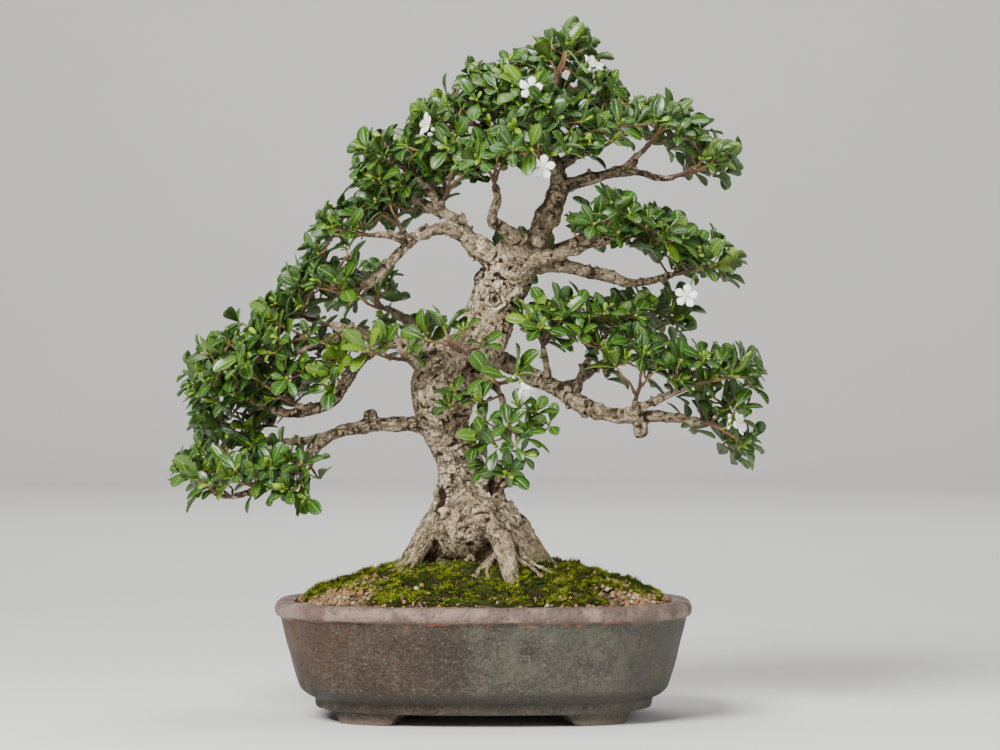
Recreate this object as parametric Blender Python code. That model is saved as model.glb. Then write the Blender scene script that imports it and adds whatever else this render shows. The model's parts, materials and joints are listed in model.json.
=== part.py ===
"""Fukien tea bonsai, grown in a low oval stoneware pot.

Lengths in the tables are millimetres, with x to the right, y away from the viewer and z up,
measured from the middle of the pot on the table. A row of a path is (x, y, z, radius).
"""

import math
import random

import bmesh
import bpy
from mathutils import Quaternion, Vector
from mathutils.bvhtree import BVHTree

MM = 0.001
GAP = 0.3                     # clearance between pieces that touch

# Pot
POT_LENGTH = 180.0
POT_WIDTH = 137.0
RIM_HEIGHT = 51.0
RIM_BAND = 9.0                # flat top of the lip, across the wall
OVAL_POWER = 2.7              # 2 is an ellipse, more is squarer
POT_SIDES = 32
FLOOR_UNDER = 5.0             # underside of the floor between the feet
FLOOR_TOP = 11.0
WALL_FOOT = (20.0, 11.0)      # inner wall: how far inside the lip, and the height
WALL_MIDDLE = (13.0, 31.0)
FOOT_SPAN = (35.0, 63.0)      # how far a foot reaches along the length, from the middle
FOOT_DEPTH = 13.0
FOOT_INSET = 19.0             # outer side of a foot inside the lip, at the base of the pot
FOOT_TAPER = 2.2              # how much a foot narrows towards the table
FOOT_ENDS = (1.6, 1.0)        # its inner and outer end draw in this much more for each mm of taper
FOOT_TURN = 0.35              # how much the ends turn in with the depth
FOOT_STEPS = 5
DRAIN_OFFSET = 34.0
DRAIN_RADIUS = 6.0
DRAIN_SIDES = 12
SCREEN_SIZE = 17.0
SCREEN_THICKNESS = 0.8
SCREEN_BAR = 1.6

# Soil, moss and grit
WALL_GAP = 0.5                # between the soil and the pot's wall
SOIL_EDGE = 49.5              # soil level at the wall
MOUND_RISE = 19.0
MOUND_POWER = 1.8
SOIL_RINGS = (1.0, 0.93, 0.82, 0.64, 0.4)
MOSS_LIFT = 2.2               # thickness of a cushion of moss in its middle
MOSS_EDGE = 0.9
GRIT_COUNT = 20
GRIT_RADIUS = 1.5
GRIT_SIZES = (0.75, 1.1)
GRIT_RISE = 0.2
DRIP_LINE = 0.965             # where the bare grit lies, as a share of the way to the wall

# Foliage
LEAF_LENGTH = (11.0, 15.0)
LEAF_WIDTH = 0.49             # of its length
LEAF_THICKNESS = 0.85         # at the midrib
LEAF_REACH = 9.0              # how far leaves stand out past the end of their shoot
WHORL_LENGTH = 1.6            # last stretch of a shoot, with a leaf on each of its sides
TERMINAL = 3                  # the leaf on the end of the shoot, after those on its sides
TWIG_RADIUS = 1.05
NECK_LENGTH = 1.4             # a side shoot widens from a point inside the stem over this
STEM_LENGTH = 10.0            # from the end of the wood to the middle of a spray at a branch end
HUB_ROOM = 6.0                # a side spray's middle stays this far from its branch
SHOOT_LENGTH = 6.0            # shortest shoot
ATTEMPTS = 14                 # places tried for a shoot or leaf before it is left out
TEST_MARGIN = 0.4             # room kept round a shoot or leaf
GOLDEN_ANGLE = math.pi * (3.0 - math.sqrt(5.0))
HUB_DROP = 0.3                # shoots part this share of half the spray's height under its middle
HUB_SHIFT = 1.5               # how far each further attempt may move that place
STEM_START = 2.0              # straight first stretch of a stem
STEM_LEAST = 4.0              # shortest stem past the end of a woody spur
SPUR_CLEAR = 2.5              # a spur stands this far clear of its branch's side
SPUR_SHARE = 0.35             # share of a long way to the spray that is wood
SPUR_LEAN = 0.8               # how far back along the branch a spur starts, for its length
SPUR_BACK = 4.0
SPUR_FIRST = 0.12             # share of the branch that bears no spur
SPUR_RADIUS = 1.2
SHOOT_RISE = 0.25             # upward bend of the first shoot
SHOOT_LOOSE = 0.15            # random bend, more with each attempt
SHOOT_HEIGHTS = (0.8, -0.5)   # slopes of the first and the last of the other shoots
SHOOT_STARTS = (0.45, 0.95)   # where along the stem they leave it
LEAN_SIDE = (40.0, 72.0)      # angle in degrees between a side leaf and its shoot
LEAN_END = (5.0, 30.0)        # the same for the leaf on the end
LEAF_LIFT = (-0.1, 0.2)
LEAF_TURN = 0.25              # random turn of a leaf about its shoot
FACE_LOOSE = 0.3              # how a blade faces: at random, up, along its shoot, and outward
FACE_UP = 0.5
FACE_SHOOT = 0.9
FACE_OUT = 0.5
CROWN_RADIUS = 90.0

# Corners of a blade: share of its length, share of half its width, and height
NEAR_CORNER = (0.36, 0.52, 0.75)
WIDE_CORNER = (0.74, 1.0, 1.25)
TIP_CORNER = (1.0, 0.0, -0.2)
RIB_CORNER = (0.6, 0.0, 0.45)
BLADE_FOOT = 0.12             # share of the length taken as its foot in tests of room

# Flowers
COROLLA_RADIUS = 5.4
COROLLA_DEPTH = 3.4
COROLLA_THROAT = 0.9          # depth of its middle
LOBE = ((-0.5, 0.38, -0.9), (-0.24, 0.93, 0.2), (0.24, 0.93, 0.2))  # turn, reach and lift
PEDICEL_RADIUS = 0.8

# Wood
TRUNK_SIDES = 12
FLUTES = 3
FLUTE_DEPTH = 0.05            # of the radius, higher up
FLUTE_TWIST = 0.02
FLUTE_FOOT = (95.0, 0.001)    # below this height they deepen by this share for each mm
WOOD_SIDES = ((5.5, 6), (2.5, 5), (0.0, 4))  # sides of wood that starts thicker than a radius
SPUR_SIDES = 3
BRANCH_LEAST = 0.3            # share of a branch that stays wood, up to its end spray
BRANCH_STEP = 1.0

TRUNK = (
    (-2, 4, 55, 12.5), (-2, 4, 67, 12.5), (-4, 2, 77, 15.5), (-5, 1, 87, 16.2), (-6, 2, 95, 14.0),
    (-9, 3, 104, 11.0), (-12, 2, 113, 9.4), (-16, 0, 122, 10.0), (-18, -2, 132, 12.3),
    (-17, -3, 143, 14.8), (-12, -2, 151, 14.2), (-4, 0, 159, 11.3), (1, 2, 169, 10.9),
    (5, 3, 180, 11.0), (10, 3, 191, 11.2), (14, 2, 199, 10.2), (16, 2, 204, 6.5),
)

# Bulge of the trunk over its front roots
BELLY = ((-4, -3, 92, 11.0), (-6, -6, 83, 14.5), (-6, -6, 76, 13.0), (-4, -6, 71, 9.5))

ROOTS = {
    "left": ((-14, -2, 92, 6.0), (-21, -5, 84, 5.2), (-27, -8, 75, 4.5), (-33, -11, 66, 4.0),
             (-43, -14, 57, 3.0)),
    "right": ((5, 0, 87, 9.4), (14, -3, 77, 8.2), (23, -7, 67, 6.6), (34, -12, 58, 3.8)),
    "front": ((3, -9, 88, 5.4), (8, -21, 77, 4.7), (11, -31, 67, 4.1), (13, -42, 54, 3.2)),
    "front_left": ((7, -22, 74, 2.4), (0, -28, 67, 2.0), (-8, -35, 58, 1.4)),
    "rear_left": ((-10, 6, 82, 8.0), (-21, 22, 72, 5.2), (-38, 46, 56, 2.2)),
    "rear_right": ((4, 6, 82, 8.0), (14, 24, 72, 5.2), (30, 47, 56, 2.2)),
}

BRANCHES = {
    "low_left": ((-18, -2, 126, 6.0), (-31, -4, 126, 3.6), (-47, -8, 126, 3.0), (-66, -12, 121, 2.6),
                 (-79, -15, 109, 2.1), (-94, -17, 99, 1.7), (-109, -18, 95, 1.4)),
    "low_left_rear": ((-66, -12, 121, 2.2), (-79, -4, 119, 1.8), (-93, 5, 119, 1.5),
                      (-107, 9, 123, 1.2)),
    "shoulder": ((-15, -2, 147, 8.5), (-26, -4, 153, 5.2), (-37, -5, 161, 2.9), (-52, -8, 165, 2.6),
                 (-66, -10, 169, 1.8), (-76, -11, 172, 1.3)),
    "shoulder_rear": ((-26, -3, 153, 3.0), (-28, 16, 166, 2.4), (-41, 36, 176, 1.9),
                      (-56, 46, 179, 1.3)),
    "left_drop": ((-44, -6, 163, 2.6), (-53, -6, 153, 2.2), (-66, -8, 136, 2.0), (-84, -10, 131, 1.7),
                  (-105, -12, 138, 1.2)),
    "left_top": ((-56, -8, 166, 2.0), (-68, -13, 162, 1.6), (-82, -16, 156, 1.3),
                 (-100, -18, 152, 1.2)),
    "upper_left": ((13, 0, 195, 7.2), (1, -3, 200, 5.2), (-9, -6, 208, 3.9), (-20, -8, 210, 2.9),
                   (-33, -10, 203, 2.2), (-45, -13, 190, 1.9), (-59, -15, 180, 1.3)),
    "upper_left_high": ((-5, -4, 204, 3.6), (-14, -3, 215, 2.8), (-25, 2, 221, 2.0),
                        (-40, 5, 228, 1.3)),
    "upper_left_rise": ((-17, -1, 216, 2.4), (-22, -2, 225, 1.8), (-32, -5, 236, 1.2)),
    "left_tier": ((-30, -10, 204, 2.2), (-40, -16, 207, 1.6), (-54, -21, 207, 1.2)),
    "snake": ((17, -2, 199, 4.2), (12, -12, 208, 3.1), (4, -17, 213, 2.6), (6, -20, 222, 1.9),
              (4, -22, 234, 1.3)),
    "leader": ((13, 1, 195, 8.0), (21, 2, 203, 5.8), (26, 3, 213, 4.9), (31, 4, 224, 4.4),
               (32, 5, 235, 3.3), (27, 8, 249, 2.5), (29, 7, 263, 1.9), (33, 6, 278, 1.3)),
    "upper_right": ((30, 4, 228, 3.6), (46, 0, 232, 2.6), (62, -2, 235, 2.0), (78, -4, 232, 1.5),
                    (94, -4, 236, 1.2)),
    "upper_right_shoot": ((59, -2, 235, 1.9), (68, -6, 243, 1.4), (75, -8, 252, 1.2)),
    "crown_right": ((32, 5, 237, 2.6), (44, 7, 246, 1.8), (52, 8, 255, 1.3)),
    "crown_left": ((28, 7, 246, 2.4), (12, -6, 250, 1.8), (-4, -12, 255, 1.3)),
    "crown_rear": ((30, 6, 241, 2.6), (28, 26, 248, 1.9), (24, 46, 258, 1.3)),
    "crown_front": ((32, 2, 232, 2.4), (30, -18, 236, 1.6), (27, -34, 240, 1.2)),
    "right_high": ((14, 0, 196, 5.0), (28, -5, 198, 3.0), (46, -12, 203, 1.9), (64, -16, 207, 1.3)),
    "right_low": ((14, 2, 194, 5.0), (30, 1, 195, 3.2), (48, -4, 191, 2.8), (65, -6, 187, 2.0),
                  (80, -8, 190, 1.5), (94, -9, 196, 1.2)),
    "right_rear": ((14, 3, 197, 3.4), (27, 24, 202, 2.2), (41, 40, 207, 1.6), (56, 50, 212, 1.2)),
    "bottom_right": ((-3, 3, 158, 6.0), (9, 16, 153, 4.2), (20, 18, 147, 3.7), (33, 8, 141, 3.5),
                     (48, -4, 132, 3.3), (64, -8, 130, 3.0), (82, -10, 129, 2.1),
                     (103, -12, 126, 1.3)),
    "bottom_right_up": ((39, 3, 137, 2.4), (43, 2, 149, 1.6), (50, 1, 161, 1.2)),
    "bottom_right_fore": ((60, -7, 130, 2.4), (72, -14, 136, 1.7), (86, -18, 142, 1.4),
                          (99, -18, 144, 1.2)),
    "bottom_right_rear": ((33, 8, 141, 2.6), (42, 27, 145, 2.0), (54, 42, 154, 1.6),
                          (68, 50, 164, 1.2)),
    "bottom_right_in": ((28, 11, 144, 2.4), (27, 0, 153, 1.6), (25, -9, 162, 1.2)),
    "front_drop": ((-4, -6, 150, 2.8), (4, -24, 145, 1.7), (9, -37, 134, 1.3), (11, -41, 126, 1.2)),
    "front_shoot": ((-2, -6, 151, 2.4), (-3, -21, 152, 1.5), (-10, -30, 158, 1.2)),
    "rear": ((4, 3, 175, 4.0), (7, 28, 180, 2.7), (10, 50, 187, 1.9), (14, 64, 194, 1.3)),
    "rear_low": ((-12, 3, 144, 3.6), (-17, 30, 149, 2.3), (-25, 52, 155, 1.6), (-32, 64, 160, 1.2)),
}

STUBS = {
    "low_left": ((-48, -8, 126, 2.6), (-49, -8, 132, 2.9)),
    "bottom_right": ((67, -8, 130, 2.8), (68, -8, 121, 3.2)),
    "trunk_right": ((0, 0, 105, 5.0), (9, -3, 100, 5.0)),
    "trunk_left": ((-12, -2, 96, 5.4), (-19, -6, 95, 4.6)),
    "upper_left": ((-9, -5, 208, 2.0), (-9, -6, 217, 1.4)),
}

# Each spray: its branch, the branch's end or its side, the middle, half its size, its shoots
SPRAYS = {
    "low_left_tip": ("low_left", "end", (-117, -18, 103), (15, 20, 13), 4),
    "low_left_mid": ("low_left", "side", (-95, -24, 104), (17, 20, 11), 3),
    "low_left_inner": ("low_left", "side", (-74, -22, 111), (18, 20, 10), 2),
    "low_left_rear": ("low_left_rear", "end", (-104, 12, 124), (18, 22, 10), 3),
    "mid_left_tip": ("left_drop", "end", (-109, -8, 143), (15, 20, 12), 3),
    "mid_left_low": ("left_drop", "side", (-84, -16, 139), (19, 18, 10), 2),
    "mid_left_top": ("left_top", "end", (-99, -20, 156), (16, 20, 10), 3),
    "mid_left_crest": ("left_top", "side", (-77, -16, 161), (19, 22, 11), 3),
    "mid_left_inner": ("left_drop", "side", (-57, -16, 153), (15, 18, 12), 2),
    "shoulder": ("shoulder", "side", (-41, -20, 158), (17, 17, 13), 3),
    "tier_left_tip": ("left_tier", "end", (-57, -20, 209), (13, 18, 11), 3),
    "tier_left_mid": ("left_tier", "side", (-37, -14, 216), (15, 20, 11), 2),
    "tier_left_low": ("upper_left", "end", (-62, -16, 186), (15, 20, 12), 3),
    "tier_left_end": ("shoulder", "end", (-76, -8, 174), (14, 20, 10), 2),
    "tier_rear": ("shoulder_rear", "end", (-52, 44, 183), (17, 18, 12), 3),
    "upper_left_tip": ("upper_left_rise", "end", (-39, -6, 240), (15, 20, 11), 3),
    "upper_left_mid": ("upper_left_high", "end", (-36, 12, 226), (18, 20, 12), 3),
    "upper_left_inner": ("upper_left_rise", "side", (-15, -12, 233), (18, 20, 13), 3),
    "snake": ("snake", "end", (5, -30, 237), (17, 18, 14), 3),
    "crown_left": ("crown_left", "end", (-11, -14, 257), (14, 20, 11), 3),
    "crown_left_high": ("crown_left", "side", (8, -4, 267), (18, 24, 13), 3),
    "crown_top": ("leader", "end", (34, 6, 285), (13, 18, 15), 4),
    "crown_mid": ("leader", "side", (22, -18, 261), (19, 20, 14), 3),
    "crown_right": ("crown_right", "end", (50, 8, 262), (17, 24, 13), 3),
    "crown_right_low": ("crown_right", "side", (55, -9, 250), (19, 18, 12), 2),
    "crown_front": ("crown_front", "end", (24, -40, 243), (20, 16, 12), 3),
    "crown_rear": ("crown_rear", "end", (22, 50, 263), (22, 18, 15), 4),
    "upper_right_mid": ("upper_right_shoot", "end", (76, -8, 254), (12, 16, 12), 3),
    "upper_right_tip": ("upper_right", "end", (93, -4, 239), (14, 18, 11), 3),
    "mid_right_inner": ("right_high", "side", (49, -20, 211), (19, 18, 13), 2),
    "mid_right_mid": ("right_high", "end", (72, -18, 206), (17, 20, 13), 3),
    "mid_right_tip": ("right_low", "end", (92, -8, 196), (13, 20, 13), 3),
    "mid_right_rear": ("right_rear", "end", (62, 52, 214), (18, 16, 13), 3),
    "low_right_inner": ("bottom_right_in", "end", (28, -15, 168), (18, 18, 13), 3),
    "low_right_upper": ("bottom_right_up", "end", (54, -2, 168), (20, 22, 13), 3),
    "low_right_mid": ("bottom_right_fore", "side", (67, -22, 150), (19, 18, 13), 3),
    "low_right_tip": ("bottom_right_fore", "end", (98, -18, 147), (19, 18, 12), 4),
    "low_right_end": ("bottom_right", "end", (102, -10, 126), (14, 20, 11), 3),
    "low_right_rear": ("bottom_right_rear", "end", (74, 50, 171), (19, 18, 12), 4),
    "front_upper": ("front_drop", "side", (9, -42, 147), (14, 10, 10), 3),
    "front_low": ("front_drop", "end", (11, -44, 121), (17, 13, 13), 4),
    "front_shoot": ("front_shoot", "end", (-18, -35, 163), (11, 10, 9), 2),
    "rear_mid": ("rear", "end", (15, 66, 199), (20, 14, 14), 4),
    "rear_low": ("rear_low", "end", (-34, 66, 163), (18, 14, 13), 3),
}

# Each flower: the spray it grows in, its middle and the way it looks
BLOOMS = {
    "crown": ("crown_mid", (20, -40, 268), (0.0, -1.0, 0.15)),
    "left": ("crown_left", (-25, -26, 254), (-0.8, -0.5, 0.2)),
    "centre": ("crown_front", (25, -54, 234), (0.1, -1.0, -0.1)),
    "right": ("mid_right_tip", (86, -28, 181), (0.0, -1.0, 0.1)),
    "top": ("crown_top", (48, -6, 282), (0.6, -0.4, 0.7)),
    "front": ("front_upper", (17, -55, 142), (0.35, -0.35, -0.85)),
    "low_right": ("low_right_end", (109, -30, 127), (0.8, -0.5, 0.2)),
}

COLOURS = {
    "stoneware": ((0.20, 0.165, 0.14), 0.72),
    "soil": ((0.16, 0.10, 0.055), 0.95),
    "moss": ((0.12, 0.19, 0.02), 0.95),
    "bark": ((0.38, 0.31, 0.23), 0.9),
    "foliage": ((0.05, 0.16, 0.025), 0.35),
    "petal": ((0.88, 0.88, 0.84), 0.6),
    "screen": ((0.03, 0.03, 0.03), 0.5),
}


def clear_scene():
    """Start from an empty scene."""
    for obj in list(bpy.data.objects):
        bpy.data.objects.remove(obj, do_unlink=True)


def finish_of(piece):
    """The Principled material of one named piece."""
    name = piece.name
    kinds = {"pot": "stoneware", "soil": "soil", "tree": "bark"}
    starts = {"moss": "moss", "spray": "foliage", "bloom": "petal", "drainage": "screen"}
    colour, roughness = COLOURS[kinds.get(name) or starts[name.split("_")[0]]]
    material = bpy.data.materials.new(name)
    material.use_nodes = True
    shader = material.node_tree.nodes["Principled BSDF"]
    shader.inputs["Base Color"].default_value = (*colour, 1.0)
    shader.inputs["Roughness"].default_value = roughness
    shader.inputs["Metallic"].default_value = 0.0
    return material


def solid(name, points, faces):
    """One closed object from points in millimetres, with its faces pointing out."""
    mesh = bpy.data.meshes.new(name)
    mesh.from_pydata([Vector(point) * MM for point in points], [], faces)
    shell = bmesh.new()
    shell.from_mesh(mesh)
    bmesh.ops.recalc_face_normals(shell, faces=shell.faces)
    if shell.calc_volume(signed=True) < 0.0:
        bmesh.ops.reverse_faces(shell, faces=shell.faces)
    shell.to_mesh(mesh)
    shell.free()
    obj = bpy.data.objects.new(name, mesh)
    bpy.context.scene.collection.objects.link(obj)
    return obj


def boolean(body, tools, operation, solver="EXACT"):
    """Add the tools to the body, or cut them from it, and remove them."""
    group = bpy.data.collections.new(body.name + "_tools")
    for tool in tools:
        tool.hide_render = True
        tool.display_type = "WIRE"
        group.objects.link(tool)
    step = body.modifiers.new(operation.title(), "BOOLEAN")
    step.operation = operation
    step.operand_type = "COLLECTION"
    step.collection = group
    step.solver = solver
    shape = body.evaluated_get(bpy.context.evaluated_depsgraph_get())
    mesh = bpy.data.meshes.new_from_object(shape)
    body.modifiers.clear()
    body.data = mesh
    for tool in tools:
        bpy.data.objects.remove(tool, do_unlink=True)
    bpy.data.collections.remove(group)


def keep_largest(body):
    """Drop the loose scraps that a cut leaves beside the main body."""
    shell = bmesh.new()
    shell.from_mesh(body.data)
    left = set(shell.verts)
    bodies = []
    while left:
        found = [left.pop()]
        for vert in found:
            for edge in vert.link_edges:
                other = edge.other_vert(vert)
                if other in left:
                    left.remove(other)
                    found.append(other)
        bodies.append(found)
    bodies.sort(key=len)
    scraps = [vert for found in bodies[:-1] for vert in found]
    bmesh.ops.delete(shell, geom=scraps, context="VERTS")
    shell.to_mesh(body.data)
    shell.free()


def shade_round(body, angle):
    """Shade the body smooth, with edges sharper than the angle kept crisp."""
    body.data.shade_smooth()
    body.data.set_sharp_from_angle(angle=math.radians(angle))


# Outlines and lofts

def oval(length, width, angle, power=OVAL_POWER):
    """Point of a squarish oval of the given length and width."""
    x = math.copysign(abs(math.cos(angle)) ** (2.0 / power), math.cos(angle))
    y = math.copysign(abs(math.sin(angle)) ** (2.0 / power), math.sin(angle))
    return Vector((0.5 * length * x, 0.5 * width * y))


def loft(name, rings):
    """Closed solid through rings of equally many points, with both ends capped."""
    sides = len(rings[0])
    points = [point for ring in rings for point in ring]
    faces = [tuple(range(sides)), tuple(range(len(points) - sides, len(points)))]
    for row in range(len(rings) - 1):
        for side in range(sides):
            after = (side + 1) % sides
            low, high = row * sides, (row + 1) * sides
            faces.append((low + side, low + after, high + after, high + side))
    return solid(name, points, faces)


def tube_shape(path, sides, margin=0.0, pointed=False):
    """Points and faces of a tube through rows of (x, y, z, radius).

    The far end's cap is the first face and the last stretch's sides are the last ones. The near
    end is flat too, or comes to a point.
    """
    rows = [Vector(row) for row in path]
    centres = [row.xyz for row in rows]
    across = None
    points = []
    for index, row in enumerate(rows):
        before = centres[max(index - 1, 0)]
        after = centres[min(index + 1, len(rows) - 1)]
        along = (after - before).normalized()
        across = along.orthogonal() if across is None else across
        across = (across - along * across.dot(along)).normalized()
        beside = along.cross(across)
        radius = row.w + margin
        for side in range(sides):
            turn = 2.0 * math.pi * side / sides
            points.append(centres[index] + radius * (across * math.cos(turn) + beside * math.sin(turn)))
    faces = [tuple(range(len(points) - sides, len(points))), tuple(range(sides))]
    for ring in range(len(rows) - 1):
        for side in range(sides):
            after = (side + 1) % sides
            low, high = ring * sides, (ring + 1) * sides
            faces.append((low + side, low + after, high + after, high + side))
    if pointed:
        points = [centres[0]] + points[sides:]
        merged = [tuple(dict.fromkeys(max(corner - sides + 1, 0) for corner in face)) for face in faces]
        faces = [face for face in merged if len(face) > 2]
    return points, faces


# Pot

def pot_profile():
    """Outer and inner wall of the pot from its underside over the lip to the floor."""
    half = POT_LENGTH / 2.0
    outer = ((half - 20.0, FLOOR_UNDER), (half - 17.6, 5.8), (half - 17.2, 8.6), (half - 14.5, 10.4),
             (half - 10.4, 14.6), (half - 5.8, 31.0), (half - 2.4, 43.8), (half - 0.5, 45.0),
             (half, 48.0), (half - 2.2, RIM_HEIGHT))
    inner = ((half - RIM_BAND + 0.8, RIM_HEIGHT), (half - RIM_BAND, 49.8),
             (half - WALL_MIDDLE[0], WALL_MIDDLE[1]), (half - WALL_FOOT[0], WALL_FOOT[1]))
    return outer, inner


def pot_ring(reach, height):
    """Ring of points of the pot's oval whose half length is the reach."""
    slimmer = POT_LENGTH - POT_WIDTH
    turns = [2.0 * math.pi * side / POT_SIDES for side in range(POT_SIDES)]
    return [Vector((*oval(2.0 * reach, 2.0 * reach - slimmer, turn), height)) for turn in turns]


def foot(side_x, side_y):
    """One low bracket foot, curved with the base of the pot."""
    reach = POT_LENGTH / 2.0 - FOOT_INSET
    slimmer = (POT_LENGTH - POT_WIDTH) / 2.0
    steps = FOOT_STEPS
    points = []
    for height, taper in ((0.0, FOOT_TAPER), (FLOOR_UNDER + 1.5, 0.0)):
        inner, outer = FOOT_SPAN[0] + FOOT_ENDS[0] * taper, FOOT_SPAN[1] - FOOT_ENDS[1] * taper
        for depth in (taper, FOOT_DEPTH):
            for step in range(steps):
                x = inner + (outer - inner) * step / (steps - 1)
                drop = max(1.0 - (x / reach) ** OVAL_POWER, 0.0) ** (1.0 / OVAL_POWER)
                y = (reach - slimmer) * drop - depth
                points.append((side_x * (x - FOOT_TURN * (depth - taper)), side_y * y, height))
    faces = []
    count = 2 * steps
    for level in (0, count):
        for step in range(steps - 1):
            faces.append((level + step, level + step + 1, level + steps + step + 1, level + steps + step))
    rim = list(range(steps)) + list(range(count - 1, steps - 1, -1))
    for here, after in zip(rim, rim[1:] + rim[:1]):
        faces.append((here, after, after + count, here + count))
    return solid("foot", points, faces)


def drain_hole(x):
    """Cutter of one drainage hole."""
    path = ((x, 0, FLOOR_UNDER - 3.0, DRAIN_RADIUS), (x, 0, FLOOR_TOP + 3.0, DRAIN_RADIUS))
    return solid("drain", *tube_shape(path, DRAIN_SIDES))


def make_pot():
    outer, inner = pot_profile()
    pot = loft("pot", [pot_ring(reach, height) for reach, height in outer + inner])
    boolean(pot, [foot(x, y) for x in (-1, 1) for y in (-1, 1)], "UNION")
    boolean(pot, [drain_hole(-DRAIN_OFFSET), drain_hole(DRAIN_OFFSET)], "DIFFERENCE")
    shade_round(pot, 50.0)
    return pot


def make_screen(name, x):
    """Square screen with four openings, lying over a drainage hole."""
    half = SCREEN_SIZE / 2.0
    stops = (-half, -half + SCREEN_BAR, -SCREEN_BAR / 2.0, SCREEN_BAR / 2.0, half - SCREEN_BAR, half)
    mesh = bpy.data.meshes.new(name)
    grid = bmesh.new()
    verts = [[grid.verts.new((a * MM, b * MM, 0.0)) for a in stops] for b in stops]
    for row in range(5):
        for column in range(5):
            if row % 2 and column % 2:
                continue
            grid.faces.new((verts[row][column], verts[row][column + 1],
                            verts[row + 1][column + 1], verts[row + 1][column]))
    lifted = bmesh.ops.extrude_face_region(grid, geom=grid.faces[:])
    raised = [item for item in lifted["geom"] if isinstance(item, bmesh.types.BMVert)]
    bmesh.ops.translate(grid, verts=raised, vec=(0.0, 0.0, SCREEN_THICKNESS * MM))
    bmesh.ops.recalc_face_normals(grid, faces=grid.faces)
    grid.to_mesh(mesh)
    grid.free()
    screen = bpy.data.objects.new(name, mesh)
    screen.location = (x * MM, 0.0, (FLOOR_TOP + GAP) * MM)
    bpy.context.scene.collection.objects.link(screen)
    return screen


# Soil and moss

def mound_point(share, angle, lift=0.0):
    """Point of the soil's surface, at a share of the way from the middle to the wall."""
    reach = POT_LENGTH - 2.0 * (RIM_BAND + WALL_GAP)
    flat = oval(reach, reach - (POT_LENGTH - POT_WIDTH), angle) * share
    height = SOIL_EDGE + MOUND_RISE * (1.0 - share ** MOUND_POWER)
    return Vector((*flat, height + lift))


def ring_angle(side):
    return 2.0 * math.pi * side / POT_SIDES


def root_holes(margin):
    """Cutters a little larger than the foot of the trunk and its roots."""
    base = Vector(TRUNK[0])
    base.z -= margin
    cutters = [solid("hole", *trunk_shape((base,) + TRUNK[1:4], margin))]
    for path in ROOTS.values():
        cutters.append(solid("hole", *tube_shape(stretched(path, margin), 6, margin)))
    return cutters


def stretched(path, extra):
    """The path with its thin end pushed out by the extra length."""
    rows = [Vector(row) for row in path]
    way = (rows[-1].xyz - rows[-2].xyz).normalized() * extra
    rows[-1] = Vector((*(rows[-1].xyz + way), rows[-1].w))
    return rows


def granule(rng):
    """One bare grain of grit near the rim, half sunk in the soil."""
    side = rng.uniform(0.0, POT_SIDES)
    middle = mound_point(DRIP_LINE, ring_angle(side), GRIT_RISE)
    size = GRIT_RADIUS * rng.uniform(*GRIT_SIZES)
    spin = rng.uniform(0.0, math.pi)
    points = [middle + Vector((0, 0, size)), middle - Vector((0, 0, size))]
    for corner in range(4):
        turn = spin + corner * math.pi / 2.0
        points.append(middle + Vector((math.cos(turn), math.sin(turn), 0.0)) * size)
    faces = []
    for corner in range(4):
        after = 2 + (corner + 1) % 4
        faces += [(0, 2 + corner, after), (1, after, 2 + corner)]
    return solid("granule", points, faces)


def make_soil():
    half = POT_LENGTH / 2.0 - WALL_GAP
    walls = ((half - WALL_FOOT[0], FLOOR_TOP + GAP), (half - WALL_MIDDLE[0], WALL_MIDDLE[1]))
    rings = [pot_ring(reach, height) for reach, height in walls]
    angles = [ring_angle(side) for side in range(POT_SIDES)]
    rings += [[mound_point(share, angle) for angle in angles] for share in SOIL_RINGS]
    soil = loft("soil", rings)
    rng = random.Random("grit")
    boolean(soil, [granule(rng) for _ in range(GRIT_COUNT)], "UNION")
    pockets = []
    for x in (-DRAIN_OFFSET, DRAIN_OFFSET):
        side = SCREEN_SIZE / 2.0 + GAP
        top = FLOOR_TOP + SCREEN_THICKNESS + 2.0 * GAP
        path = ((x, 0, FLOOR_UNDER, side * math.sqrt(2.0)), (x, 0, top, side * math.sqrt(2.0)))
        pockets.append(solid("pocket", *tube_shape(path, 4)))
    boolean(soil, root_holes(GAP + 0.1) + pockets, "DIFFERENCE")
    keep_largest(soil)
    return soil


def make_moss(name, first, last, rows):
    """A cushion of moss over some cells of the soil's own grid, just clear of it."""
    points = []
    faces = []
    columns = list(range(first, last + 1))
    for level in (0, 1):
        for row in rows:
            for column in columns:
                inside = row not in (rows[0], rows[-1]) and column not in (first, last)
                lift = GAP + level * (MOSS_LIFT if inside else MOSS_EDGE)
                points.append(mound_point(SOIL_RINGS[row], ring_angle(column), lift))
    width = len(columns)
    count = width * len(rows)
    for row in range(len(rows) - 1):
        for column in range(width - 1):
            here = row * width + column
            cell = (here, here + 1, here + width + 1, here + width)
            faces += [cell, tuple(corner + count for corner in cell)]
    edge = list(range(width)) + [row * width + width - 1 for row in range(1, len(rows))]
    edge += [count - 2 - step for step in range(width - 1)]
    edge += [row * width for row in range(len(rows) - 2, 0, -1)]
    for here, after in zip(edge, edge[1:] + edge[:1]):
        faces.append((here, after, after + count, here + count))
    moss = solid(name, points, faces)
    boolean(moss, root_holes(2.0 * GAP), "DIFFERENCE")
    keep_largest(moss)
    return moss


# Wood

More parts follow.
